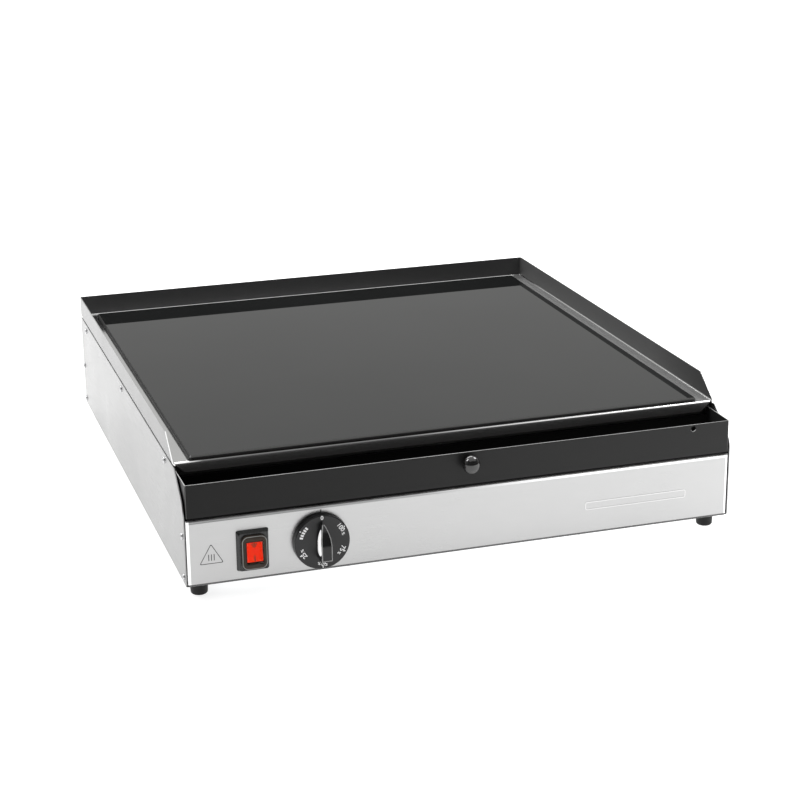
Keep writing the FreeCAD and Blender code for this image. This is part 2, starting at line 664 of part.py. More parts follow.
# ---------------------------------------------------------------- rocker switch
def make_switch_frame():
    """Sealed switch bezel: draughted block with a rounded opening for the boot."""
    w0, h0 = FRAME_WIDE, FRAME_HIGH
    w1, h1 = w0 - 2 * FRAME_DRAFT, h0 - 2 * FRAME_DRAFT
    loops = []
    for w, h, y in ((w0, h0, 0), (w1, h1, -FRAME_DEEP)):
        corners = [V(SWITCH_X + sx * w / 2, y, SWITCH_Z + sz * h / 2)
                   for sx, sz in ((-1, -1), (1, -1), (1, 1), (-1, 1))]
        loops.append(Part.makePolygon(corners + [corners[0]]))
    block = Part.makeLoft(loops, True, True)
    slanted = []
    for e in block.Edges:
        if e.BoundBox.YLength > FRAME_DEEP - 0.1:
            slanted.append(e)
    block = block.makeFillet(2.2, slanted)
    opening = rounded_slab(SWITCH_X, SWITCH_Z, BOOT_WIDE + 0.2, BOOT_HIGH + 0.2, 6.1, -FRAME_DEEP - 1, -1.5)
    through = rounded_slab(SWITCH_X, SWITCH_Z, 19.0, 27.0, 2.0, -2, 1)
    return block.cut([opening, through])


def make_switch_boot():
    """Clear moulded cap over the rocker."""
    low, crown, wall = -1.5, -FRAME_DEEP - 4.2, 0.7
    outer = rounded_slab(SWITCH_X, SWITCH_Z, BOOT_WIDE, BOOT_HIGH, 6.0, crown, low)
    front = [e for e in outer.Edges if e.BoundBox.YMax < crown + 0.01]
    outer = outer.makeFillet(2.6, front)
    inner = rounded_slab(SWITCH_X, SWITCH_Z, BOOT_WIDE - 2 * wall, BOOT_HIGH - 2 * wall, 6.0 - wall,
                         crown + wall, low + 1)
    front = [e for e in inner.Edges if e.BoundBox.YMax < crown + wall + 0.01]
    inner = inner.makeFillet(1.9, front)
    return outer.cut(inner)


def make_switch_body():
    """Moulded body behind the panel, open at the front for the rocker."""
    body = box(SWITCH_X - 10.9, SWITCH_X + 10.9, 0, 24, SWITCH_Z - 14.9, SWITCH_Z + 14.9)
    well = box(SWITCH_X - 8.6, SWITCH_X + 8.6, -1, 14, SWITCH_Z - 11.6, SWITCH_Z + 11.6)
    pins = [along_x(ROCKER_Y, SWITCH_Z, 1.55, SWITCH_X - 10.5, SWITCH_X + 10.5)]
    slots = []
    for z in SWITCH_TAB_Z:
        for sign in (-1, 1):
            x = SWITCH_X + sign * 5
            slots.append(box(x - 0.4, x + 0.4, 20, 25, SWITCH_Z + z - 2.4, SWITCH_Z + z + 2.4))
    return body.cut([well] + pins + slots)


def make_rocker():
    """Rocker with two shallow faces, resting with its upper half pressed in."""
    half_high = ROCKER_HIGH / 2
    x0 = SWITCH_X - ROCKER_WIDE / 2
    front = -FRAME_DEEP - 1.9
    dish = 0.8
    pts = [(front, half_high), (front + dish, 0), (front, -half_high), (front + 5.5, -half_high + 0.2),
           (5.5, -5.5), (5.5, 5.5), (front + 5.5, half_high - 0.2)]
    upper = Part.Arc(V(x0, pts[0][0], SWITCH_Z + pts[0][1]),
                     V(x0, pts[1][0], SWITCH_Z),
                     V(x0, pts[2][0], SWITCH_Z + pts[2][1])).toShape()
    edges = [upper]
    for a, b in zip(pts[2:], pts[3:] + pts[:1]):
        edges.append(Part.makeLine(V(x0, a[0], SWITCH_Z + a[1]), V(x0, b[0], SWITCH_Z + b[1])))
    body = Part.Face(Part.Wire(edges)).extrude(V(ROCKER_WIDE, 0, 0))
    pin = along_x(ROCKER_Y, SWITCH_Z, 1.5, SWITCH_X - 10.3, SWITCH_X + 10.3)
    rocker = union([body, pin])
    rocker.rotate(V(SWITCH_X, ROCKER_Y, SWITCH_Z), V(1, 0, 0), -ROCKER_THROW / 2)
    return rocker


def make_switch_terminals():
    tabs = []
    for z in SWITCH_TAB_Z:
        for sign in (-1, 1):
            x = SWITCH_X + sign * 5
            tabs.append(box(x - 0.4, x + 0.4, 20, 33, SWITCH_Z + z - 2.4, SWITCH_Z + z + 2.4))
    return Part.makeCompound(tabs)


def make_switch_lamp():
    """Neon lamp at the bottom of the rocker's well."""
    lamp = along_z(SWITCH_X, 11.5, 1.6, SWITCH_Z - 6, SWITCH_Z + 6)
    ends = [e for e in lamp.Edges if e.isClosed()]
    return lamp.makeFillet(1.0, ends)


# ---------------------------------------------------------------- heaters
def serpentine(x_centre, width, z0, z1, grow=0.0):
    """Zig-zag strip of long runs joined by half rings, in plan."""
    first = x_centre - RIBBON_PITCH * (RIBBON_RUNS - 1) / 2
    y0 = HEATER_FRONT + RIM + 22
    y1 = HEATER_BACK - RIM - 22
    half = width / 2
    pieces = []
    for k in range(RIBBON_RUNS):
        x = first + k * RIBBON_PITCH
        start = y0 - (grow + 4 if k == 0 else 0)
        end = y1 + (grow + 4 if k == RIBBON_RUNS - 1 and RIBBON_RUNS % 2 else 0)
        pieces.append(box(x - half, x + half, start, end, z0, z1))
    for k in range(RIBBON_RUNS - 1):
        x = first + (k + 0.5) * RIBBON_PITCH
        at_back = k % 2 == 0
        y = y1 if at_back else y0
        ring = along_z(x, y, RIBBON_PITCH / 2 + half, z0, z1)
        ring = ring.cut(along_z(x, y, RIBBON_PITCH / 2 - half, z0, z1))
        reach = RIBBON_PITCH + half
        keep = box(x - reach, x + reach, y, y + reach, z0, z1)
        if not at_back:
            keep = box(x - reach, x + reach, y - reach, y, z0, z1)
        pieces.append(ring.common(keep))
    return union(pieces)


def make_heater_pan(x):
    half = HEATER_WIDE / 2
    outer = box(x - half, x + half, HEATER_FRONT, HEATER_BACK, HEATER_LOW, HEATER_PAN_TOP)
    t = PAN_SHEET
    inner = box(x - half + t, x + half - t, HEATER_FRONT + t, HEATER_BACK - t,
                HEATER_LOW + t, HEATER_PAN_TOP + 1)
    notch = box(x - 2.6, x + 2.6, HEATER_FRONT - 1, HEATER_FRONT + 2, LIMITER_Z - 2.6, HEATER_PAN_TOP + 1)
    return outer.cut([inner, notch])


def make_insulation(x):
    """Fibre block with a raised rim and the groove that holds the ribbon."""
    half = HEATER_WIDE / 2 - PAN_SHEET
    y0, y1 = HEATER_FRONT + PAN_SHEET, HEATER_BACK - PAN_SHEET
    block = box(x - half, x + half, y0, y1, HEATER_LOW + PAN_SHEET, GLASS_LOW - 0.2)
    dish = box(x - half + RIM, x + half - RIM, y0 + RIM, y1 - RIM, RIBBON_Z, GLASS_LOW)
    groove = serpentine(x, 1.3, RIBBON_Z - 3, RIBBON_Z + 1, 0.2)
    limiter = along_y(x, LIMITER_Z, 2.6, HEATER_FRONT - 1, LIMITER_BACK + 1)
    return block.cut([dish, groove, limiter])


def make_ribbon(x):
    return serpentine(x, 1.0, RIBBON_Z - 3, RIBBON_Z + 2.4)


def make_limiter(x):
    """Rod thermostat: a tube across the dish and a ceramic switch head in front."""
    tube = along_y(x, LIMITER_Z, 2.2, HEATER_FRONT - 2, LIMITER_BACK)
    front = SHELF_BACK + 2.5
    head = box(x - 16, x + 16, front, HEATER_FRONT - 0.2, LIMITER_Z - 14.9, LIMITER_Z + 1.9)
    head = rounded(head, 1.2, dict(x=x - 16, y=front), dict(x=x + 16, y=front))
    low = LIMITER_Z - 23.9
    tabs = [box(x + s * 9 - 3.15, x + s * 9 + 3.15, 62, 62.8, low, low + 9) for s in (-1, 1)]
    return union([tube, head] + tabs)


def make_heater_rail(depth):
    """Hat-section rail from side panel to side panel."""
    y0, y1 = depth - RAIL_WIDE / 2, depth + RAIL_WIDE / 2
    end = INNER
    foot = 9.0
    outer = box(-end, end, y0, y1, RAIL_LOW, RAIL_TOP)
    inner = box(-end - 1, end + 1, y0 + SHEET, y1 - SHEET, RAIL_LOW - 1, RAIL_TOP - SHEET)
    feet = box(-end, end, y0 - foot, y0 + SHEET, RAIL_LOW, RAIL_LOW + SHEET)
    feet2 = box(-end, end, y1 - SHEET, y1 + foot, RAIL_LOW, RAIL_LOW + SHEET)
    tabs = []
    for sign in (-1, 1):
        x0, x1 = sorted((sign * (end - SHEET), sign * end))
        tabs.append(box(x0, x1, y0, y1, RAIL_LOW - 6, RAIL_TOP))
    return union([outer.cut(inner), feet, feet2] + tabs)


def make_heater_springs():
    """Bowed leaf springs that hold the heaters up against the glass."""
    springs = []
    rise = HEATER_LOW - RAIL_TOP
    thick = 0.5
    for x in HEATER_X:
        for dx in (-80, 80):
            for depth in RAIL_DEPTHS:
                a = V(x + dx - 22, depth - 7, RAIL_TOP)
                b = V(x + dx, depth - 7, HEATER_LOW - thick)
                c = V(x + dx + 22, depth - 7, RAIL_TOP)
                lift = V(0, 0, thick)
                wire = Part.Wire([
                    Part.Arc(a, b, c).toShape(),
                    Part.makeLine(c, c + lift),
                    Part.Arc(c + lift, b + lift, a + lift).toShape(),
                    Part.makeLine(a + lift, a),
                ])
                springs.append(Part.Face(wire).extrude(V(0, 14, 0)))
    print("springs bowed %.1f mm" % rise)
    return Part.makeCompound(springs)


def make_heat_shield():
    """Plate under the rails with its front and back edges turned down."""
    top = RAIL_LOW
    y0, y1 = 60, DEPTH - 20
    plate = box(-262, 262, y0, y1, top - PAN_SHEET, top)
    front = box(-262, 262, y0, y0 + PAN_SHEET, top - 16, top)
    back = box(-262, 262, y1 - PAN_SHEET, y1, top - 16, top)
    return union([plate, front, back])


def make_thermal_cutout():
    """Snap-disc cut-out clamped under the left heater."""
    x, y = HEATER_X[0], CUTOUT_DEPTH
    can = along_z(x, y, 8.0, HEATER_LOW - 10, HEATER_LOW - 1)
    flange = box(x - 14, x + 14, y - 5, y + 5, HEATER_LOW - 1, HEATER_LOW)
    low = HEATER_LOW - 8
    tabs = [box(x + s * 4.5 - 2.4, x + s * 4.5 + 2.4, y - 16, y - 5, low, low + 0.8) for s in (-1, 1)]
    return union([can, flange] + tabs)


# ---------------------------------------------------------------- supply and wiring
def make_terminal_block():
    x0, x1, y0, y1 = BLOCK_X - 27, BLOCK_X + 27, 505, 530
    z0 = UNDER + 2 * SHEET
    block = box(x0, x1, y0, y1, z0, z0 + 17)
    cuts = []
    for k in (-1, 0, 1):
        x = BLOCK_X + k * 17
        cuts.append(along_y(x, z0 + 7, 2.2, y0 - 1, y0 + 10))
        cuts.append(along_y(x, z0 + 7, 2.2, y1 - 10, y1 + 1))
        cuts.append(along_z(x, y0 + 6, 2.6, z0 + 8.0, z0 + 18))
        cuts.append(along_z(x, y1 - 6, 2.6, z0 + 8.0, z0 + 18))
    for k in (-1, 1):
        x = BLOCK_X + k * 8.5
        cuts.append(box(x - 1, x + 1, y0 - 1, y1 + 1, z0 + 11, z0 + 18))
    return block.cut(cuts)


def make_terminal_screws():
    z0 = UNDER + 2 * SHEET
    screws = []
    for k in (-1, 0, 1):
        for y in (511, 524):
            x = BLOCK_X + k * 17
            screws.append(pan_screw(x, y, z0 + 13.2, V(0, 0, -1), 3.8, 5.0, 1.6, 3.0))
    return Part.makeCompound(screws)


def make_gland_body():
    thread = along_y(GLAND_X, GLAND_Z, GLAND_THREAD / 2, DEPTH - 10, DEPTH + 2)
    flange = hex_nut(GLAND_X, DEPTH, GLAND_Z, V(0, 1, 0), 20, 5, GLAND_BORE)
    neck = along_y(GLAND_X, GLAND_Z, 7.5, DEPTH + 4, DEPTH + 12)
    body = union([thread, flange, neck])
    return body.cut(along_y(GLAND_X, GLAND_Z, GLAND_BORE / 2, DEPTH - 20, DEPTH + 20))


def make_gland_cap():
    outer = hex_nut(GLAND_X, DEPTH + 5.2, GLAND_Z, V(0, 1, 0), 20, 9, 15.2)
    dome = Part.makeCone(9.6, 6.2, GLAND_REACH - 14.2, V(GLAND_X, DEPTH + 14.2, GLAND_Z), V(0, 1, 0))
    inner = along_y(GLAND_X, GLAND_Z, GLAND_BORE / 2, DEPTH, DEPTH + 40)
    return union([outer, dome]).cut(inner)


def make_gland_nut():
    nut = hex_nut(GLAND_X, DEPTH - SHEET, GLAND_Z, V(0, -1, 0), 20, 4, GLAND_THREAD + 0.06)
    return nut


def make_earth_stud():
    """Bonding stud through the rear panel, with its two nuts."""
    stud = along_y(EARTH_X, GLAND_Z, 2.5, DEPTH - 16, DEPTH + 14)
    inside = hex_nut(EARTH_X, DEPTH - SHEET, GLAND_Z, V(0, -1, 0), 8, 4, 5)
    outside = hex_nut(EARTH_X, DEPTH, GLAND_Z, V(0, 1, 0), 8, 4, 5)
    lug = along_y(EARTH_X, GLAND_Z, 5.0, DEPTH - 5.8, DEPTH - 5)
    tongue = box(EARTH_X - 14, EARTH_X, DEPTH - 5.8, DEPTH - 5, GLAND_Z - 1.5, GLAND_Z + 1.5)
    return union([stud, inside, outside, lug, tongue])


def make_wires():
    """Internal leads, each along its own route, ending face to face on its terminal."""
    floor = UNDER + 2 * SHEET + 7
    tab_left = DIAL_X + TAB_PLACES[0][0]
    tab_right = DIAL_X + TAB_PLACES[1][0]
    tab_end = REG_BACK + 9
    tab_z = DIAL_Z + TAB_PLACES[0][1]
    switch_x = SWITCH_X + 5
    live = [(BLOCK_X - 17, 505, floor), (BLOCK_X - 17, 440, floor), (60, 380, 32), (-20, 300, 33),
            (-110, 210, 34), (switch_x, 110, SWITCH_Z + SWITCH_TAB_Z[0]),
            (switch_x, 33, SWITCH_Z + SWITCH_TAB_Z[0])]
    link = [(switch_x, 33, SWITCH_Z + SWITCH_TAB_Z[1]), (switch_x, 58, SWITCH_Z + SWITCH_TAB_Z[1]),
            (tab_left, 62, tab_z), (tab_left, tab_end, tab_z)]
    up_y = SHELF_BACK + 5.5
    cutout_y = CUTOUT_DEPTH - 16
    over = HEATER_LOW - 2
    cutout_z = HEATER_LOW - 7.6
    heat = [(tab_right, tab_end, tab_z), (tab_right, up_y, tab_z), (tab_right, up_y, over),
            (tab_right, 225, over), (HEATER_X[0] - 4.5, 258, cutout_z),
            (HEATER_X[0] - 4.5, cutout_y, cutout_z)]
    lug_y = DEPTH - 5.4
    earth = [(BLOCK_X + 17, 530, floor), (BLOCK_X + 17, 548, floor), (EARTH_X - 29, 560, 31),
             (EARTH_X - 24, lug_y, GLAND_Z), (EARTH_X - 14, lug_y, GLAND_Z)]
    save("wire_live", cable(live, WIRE))
    save("wire_switch_link", cable(link, WIRE))
    save("wire_heater", cable(heat, WIRE))
    save("wire_earth", cable(earth, WIRE))


# ---------------------------------------------------------------- feet and screws
def make_foot(x, depth):
    """Turned rubber foot with a recess for its screw."""
    radius = FOOT_DIAMETER / 2
    body = Part.makeCone(radius - 0.6, radius, FOOT_HEIGHT, V(x, depth, 0), V(0, 0, 1))
    low = [e for e in body.Edges if e.isClosed() and e.BoundBox.ZMax < 0.1]
    body = body.makeFillet(2.6, low)
    cuts = [along_z(x, depth, 4.2, -1, 7), along_z(x, depth, 2.1, 0, FOOT_HEIGHT + 1)]
    return body.cut(cuts)


def make_foot_screws():
    fixings = []
    for sign in (-1, 1):
        for depth in FOOT_DEPTHS:
            x = sign * (HALF - FOOT_SIDE)
            fixings.append(pan_screw(x, depth, 7, V(0, 0, 1), 14, 7.0, 2.4, 4.0))
            fixings.append(hex_nut(x, depth, UNDER + 2 * SHEET, V(0, 0, 1), 7, 3.2, 4.05))
    return Part.makeCompound(fixings)


def make_bottom_screws():
    screws = []
    for sign in (-1, 1):
        for depth in BOTTOM_SCREW_DEPTHS:
            x = sign * (HALF - FOOT_SIDE)
            screws.append(pan_screw(x, depth, UNDER, V(0, 0, 1), 7, 7.0, 2.2, 4.0))
    for x in (-120, 120):
        for depth in (8, DEPTH - 8):
            screws.append(pan_screw(x, depth, UNDER, V(0, 0, 1), 7, 7.0, 2.2, 4.0))
    return Part.makeCompound(screws)


def make_side_screws(sign):
    screws = []
    into = V(-sign, 0, 0)
    for depth in SIDE_SCREW_DEPTHS:
        screws.append(pan_screw(sign * HALF, depth, SIDE_SCREW_Z, into, 8))
    for depth in EDGE_SCREW_DEPTHS:
        for z in EDGE_SCREW_Z:
            screws.append(pan_screw(sign * HALF, depth, z, into, 8))
    return Part.makeCompound(screws)


# ---------------------------------------------------------------- derived places
BOTTOM_SCREW_DEPTHS = (120.0, 290.0, 455.0)
EARTH_X = 245.0
BLOCK_X = 165.0
REG_BACK = SHEET + REG_DEEP
SHAFT_FRONT = -DIAL_GAP - DIAL_THICK - 8.0
CAM_FRONT = SHEET + 10.0
TAB_PLACES = ((-13.0, 6.0), (13.0, 6.0), (-13.0, -9.0), (13.0, -9.0))
ROCKER_Y = 2.0
SWITCH_TAB_Z = (-9.0, 9.0)
RIBBON_Z = DECK_TOP - 8.2
LIMITER_Z = DECK_TOP - 3.3
LIMITER_BACK = 380.0
CUTOUT_DEPTH = 300.0


def make_all():
    save("front_panel", make_front_panel())
    save("rear_panel", make_rear_panel())
    right = make_side_panel()
    save("right_side_panel", right)
    save("left_side_panel", mirrored(right))
    save("bottom_plate", make_bottom_plate())
    save("deck", make_deck())
    bracket = make_deck_bracket()
    save("deck_bracket_right", bracket)
    save("deck_bracket_left", mirrored(bracket))
    save("deck_bracket_rear", make_rear_bracket())
    save("glass_plate", make_glass())
    save("glass_seal", make_seal())
    save("tray_shelf", make_tray_shelf())
    save("drip_tray", make_tray())
    save("tray_knob", make_tray_knob())
    tray_screw = pan_screw(0, -TRAY_PROUD + SHEET, KNOB_Z, V(0, -1, 0), 9, 7.0, 2.2, 4.0)
    save("tray_knob_screw", tray_screw)
    save("dial_knob", make_dial())
    save("dial_clip", make_dial_clip())
    save("regulator_shaft", make_regulator_shaft())
    save("regulator_cam", make_regulator_cam())
    save("regulator_housing", make_regulator_housing())
    save("regulator_cover", make_regulator_cover())
    save("regulator_terminals", make_regulator_terminals())
    save("regulator_screws", make_regulator_screws())
    save("switch_frame", make_switch_frame())
    save("switch_boot", make_switch_boot())
    save("switch_body", make_switch_body())
    save("switch_rocker", make_rocker())
    save("switch_lamp", make_switch_lamp())
    save("switch_terminals", make_switch_terminals())
    for side, x in zip(("left", "right"), HEATER_X):
        save("heater_pan_" + side, make_heater_pan(x))
        save("heater_insulation_" + side, make_insulation(x))
        save("heater_ribbon_" + side, make_ribbon(x))
        save("heater_limiter_" + side, make_limiter(x))
    for end, depth in zip(("front", "rear"), RAIL_DEPTHS):
        save("heater_rail_" + end, make_heater_rail(depth))
    save("heater_springs", make_heater_springs())
    save("heat_shield", make_heat_shield())
    save("thermal_cutout", make_thermal_cutout())
    save("terminal_block", make_terminal_block())
    save("terminal_screws", make_terminal_screws())
    save("gland_body", make_gland_body())
    save("gland_cap", make_gland_cap())
    save("gland_nut", make_gland_nut())
    save("earth_stud", make_earth_stud())
    make_wires()
    for end, depth in zip(("front", "rear"), FOOT_DEPTHS):
        for side, sign in (("left", -1), ("right", 1)):
            save("foot_%s_%s" % (end, side), make_foot(sign * (HALF - FOOT_SIDE), depth))
    save("foot_screws", make_foot_screws())
    save("bottom_screws", make_bottom_screws())
    save("side_screws_left", make_side_screws(-1))
    save("side_screws_right", make_side_screws(1))


def export():
    os.makedirs("parts", exist_ok=True)
    for name, shape in PARTS.items():
        shape.translate(V(0, FRONT_Y, 0))
        if not shape.isValid():
            print("INVALID", name)
        shape.exportStep("parts/%s.step" % name)
    print(len(PARTS), "nodes, front panel plane at y = %.3f" % FRONT_Y)


make_all()
export()
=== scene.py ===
import math

import bmesh
import bpy
from mathutils import Matrix, Vector
from mathutils.bvhtree import BVHTree


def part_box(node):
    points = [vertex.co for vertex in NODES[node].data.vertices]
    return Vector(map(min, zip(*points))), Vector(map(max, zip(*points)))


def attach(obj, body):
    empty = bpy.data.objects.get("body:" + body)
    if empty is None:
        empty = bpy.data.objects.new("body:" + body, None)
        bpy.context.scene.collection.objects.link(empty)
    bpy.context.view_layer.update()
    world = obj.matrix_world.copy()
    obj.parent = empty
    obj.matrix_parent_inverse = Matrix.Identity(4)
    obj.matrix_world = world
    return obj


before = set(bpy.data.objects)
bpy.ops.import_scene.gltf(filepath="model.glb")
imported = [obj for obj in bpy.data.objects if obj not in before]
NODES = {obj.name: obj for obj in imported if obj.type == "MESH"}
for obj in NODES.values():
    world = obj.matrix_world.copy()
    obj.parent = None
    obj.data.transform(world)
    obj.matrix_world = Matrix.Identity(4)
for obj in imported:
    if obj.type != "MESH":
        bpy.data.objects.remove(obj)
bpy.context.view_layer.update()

# ------------------------------------------------------------------ places, from the frame
PANEL_LOW, PANEL_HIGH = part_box("front_panel")
DECK_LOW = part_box("deck")[0]
GLASS_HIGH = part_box("glass_plate")[1]
TRAY_LOW, TRAY_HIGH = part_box("drip_tray")
DIAL_LOW, DIAL_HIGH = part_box("dial_knob")
FRAME_LOW, FRAME_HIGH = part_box("switch_frame")

PANEL_Y = PANEL_LOW.y
DIAL_X = (DIAL_LOW.x + DIAL_HIGH.x) / 2
DIAL_Z = (DIAL_LOW.z + DIAL_HIGH.z) / 2
DISC_THICK = 0.0066
DIAL_FACE = DIAL_HIGH.y - DISC_THICK
SWITCH_X = (FRAME_LOW.x + FRAME_HIGH.x) / 2
SWITCH_Z = (FRAME_LOW.z + FRAME_HIGH.z) / 2
HOLE_X, HOLE_Z, HOLE_RADIUS = 0.238, 0.1127, 0.00275

# the grip on the dial: half width, start and rise of its arch, standing height, lower and upper end
GRIP_HALF, GRIP_SPRING, GRIP_RISE = 0.0053, 0.0020, 0.0196
GRIP_CREST = 0.0157
GRIP_TAIL, GRIP_NOSE = -0.0146, 0.0226

# the circle of marks stands a little above the dial's axis; printed marks are thin plates
MARK_RISE = 0.0010
MARK_STEP = math.pi / 3
SUNK = 0.00002
DIAL_PRINT = 0.00012
PANEL_PRINT = 0.00008
SIGN_CENTRE = (-0.2548, 0.0427)
STRIP_CENTRE = (0.1775, 0.0445)


# ------------------------------------------------------------------ node-tree helpers
def grey(level):
    """Neutral colour of one linear level."""
    return (level, level, level)


class Tree:
    """Small builder for a procedural material."""

    def __init__(self, name):
        self.material = bpy.data.materials.new(name)
        self.material.use_nodes = True
        self.tree = self.material.node_tree
        self.tree.nodes.clear()
        self.out = self.add("ShaderNodeOutputMaterial")
        self.shader = self.add("ShaderNodeBsdfPrincipled")
        self.link(self.shader.outputs["BSDF"], self.out.inputs["Surface"])
        self.coords = self.add("ShaderNodeTexCoord").outputs["Object"]

    def add(self, kind):
        return self.tree.nodes.new(kind)

    def link(self, a, b):
        self.tree.links.new(a, b)

    def set(self, **values):
        for key, value in values.items():
            self.shader.inputs[key.replace("_", " ")].default_value = value

    def stretched(self, scale, rotation=(0, 0, 0)):
        node = self.add("ShaderNodeMapping")
        node.inputs["Scale"].default_value = scale
        node.inputs["Rotation"].default_value = rotation
        self.link(self.coords, node.inputs["Vector"])
        return node.outputs["Vector"]

    def noise(self, scale, detail=4.0, roughness=0.55, vector=None):
        node = self.add("ShaderNodeTexNoise")
        node.inputs["Scale"].default_value = scale
        node.inputs["Detail"].default_value = detail
        node.inputs["Roughness"].default_value = roughness
        self.link(vector or self.coords, node.inputs["Vector"])
        return node.outputs["Fac"]

    def spread(self, value, low, high, start=0.3, end=0.7):
        """Map a texture value from start..end onto low..high."""
        node = self.add("ShaderNodeMapRange")
        node.inputs["From Min"].default_value = start
        node.inputs["From Max"].default_value = end
        node.inputs["To Min"].default_value = low
        node.inputs["To Max"].default_value = high
        self.link(value, node.inputs["Value"])
        return node.outputs["Result"]

    def math(self, kind, a, b):
        node = self.add("ShaderNodeMath")
        node.operation = kind
        for socket, value in zip(node.inputs, (a, b)):
            if isinstance(value, (int, float)):
                socket.default_value = value
            else:
                self.link(value, socket)
        return node.outputs[0]

    def step(self, value, edge):
        """One where the value is above the edge, else zero."""
        return self.math("GREATER_THAN", value, edge)

    def blend(self, factor, a, b):
        node = self.add("ShaderNodeMix")
        node.data_type = "RGBA"
        for key, value in (("Factor", factor), ("A", a), ("B", b)):
            sockets = [s for s in node.inputs if s.name == key and s.enabled]
            socket = sockets[-1]
            if isinstance(value, (tuple, list)):
                socket.default_value = tuple(value) + ((1.0,) if len(value) == 3 else ())
            elif isinstance(value, (int, float)):
                socket.default_value = value
            else:
                self.link(value, socket)
        return [s for s in node.outputs if s.enabled][0]

    def colour(self, value):
        self.link(value, self.shader.inputs["Base Color"])

    def rough(self, value):
        self.link(value, self.shader.inputs["Roughness"])

    def bump(self, value, strength, distance):
        node = self.add("ShaderNodeBump")
        node.inputs["Strength"].default_value = strength
        node.inputs["Distance"].default_value = distance
        self.link(value, node.inputs["Height"])
        self.link(node.outputs["Normal"], self.shader.inputs["Normal"])

    def position(self):
        node = self.add("ShaderNodeSeparateXYZ")
        self.link(self.coords, node.inputs["Vector"])
        return node.outputs

    def normal(self):
        node = self.add("ShaderNodeSeparateXYZ")
        self.link(self.add("ShaderNodeNewGeometry").outputs["Normal"], node.inputs["Vector"])
        return node.outputs


def sheet_steel(name, tone, rough, grain_axis, grain=0.05, blotch=0.03, folded=False):
    """Bright rolled sheet: long fine grain along one axis and slight cloudy variation.

    folded paints light along the front panel's folds: a painted highlight along the top fold that
    brightens to the right, painted highlights on the two end folds, and a painted shade line along the
    bottom fold with a thin painted highlight below it.
    """
    t = Tree(name)
    t.set(Metallic=1.0)
    scale = [2600.0, 2600.0, 2600.0]
    scale[grain_axis] = 26.0
    lines = t.noise(1.0, 3.0, 0.6, t.stretched(tuple(scale)))
    cloud = t.noise(9.0, 4.0)
    light = tuple(min(1.0, c * 1.03) for c in tone)
    dark = tuple(c * 0.965 for c in tone)
    # painted shade: faces turned downward take a much darker copy of the tone
    shaded_under = t.math("LESS_THAN", t.normal()[2], -0.35)
    sheet = t.blend(t.spread(cloud, 0, 1), dark, light)
    if folded:
        top_fold, left_fold, right_fold = 0.0040, 0.0036, 0.0030
        dark_line, light_line = 0.0026, 0.0014
        x, _, z = t.position()
        facing = t.math("LESS_THAN", t.normal()[1], -0.8)
        # painted highlight along the top fold, brighter toward the right
        top_fold_glint = t.spread(t.noise(1.0, 3.0, 0.6, t.stretched((9.0, 9.0, 900.0))), 0.10, 0.34)
        top_fold_glint = t.math("ADD", top_fold_glint, t.spread(x, 0, 0.6, -0.06, 0.10))
        left = t.math("LESS_THAN", x, PANEL_LOW.x + left_fold)
        right = t.step(x, PANEL_HIGH.x - right_fold)
        end_fold_glints = t.math("MULTIPLY", facing, t.math("MAXIMUM", left, right))
        top = t.math("MULTIPLY", facing, t.step(z, PANEL_HIGH.z - top_fold))
        low = t.math("MULTIPLY", facing, t.math("LESS_THAN", z, PANEL_LOW.z + dark_line))
        lowest_glint = t.math("MULTIPLY", facing, t.math("LESS_THAN", z, PANEL_LOW.z + light_line))
        sheet = t.blend(top, sheet, top_fold_glint)
        # painted highlights on the end folds
        sheet = t.blend(end_fold_glints, sheet, grey(0.90))
        # painted shade line along the bottom fold, then a thin painted highlight under it
        sheet = t.blend(low, sheet, grey(0.10))
        sheet = t.blend(lowest_glint, sheet, grey(0.62))
    t.colour(t.blend(shaded_under, sheet, tuple(c * 0.18 for c in tone)))
    base = t.spread(cloud, rough - blotch, rough + blotch)
    t.rough(t.math("ADD", base, t.spread(lines, -grain, grain)))
    t.bump(lines, 0.035, 0.00002)
    return t.material


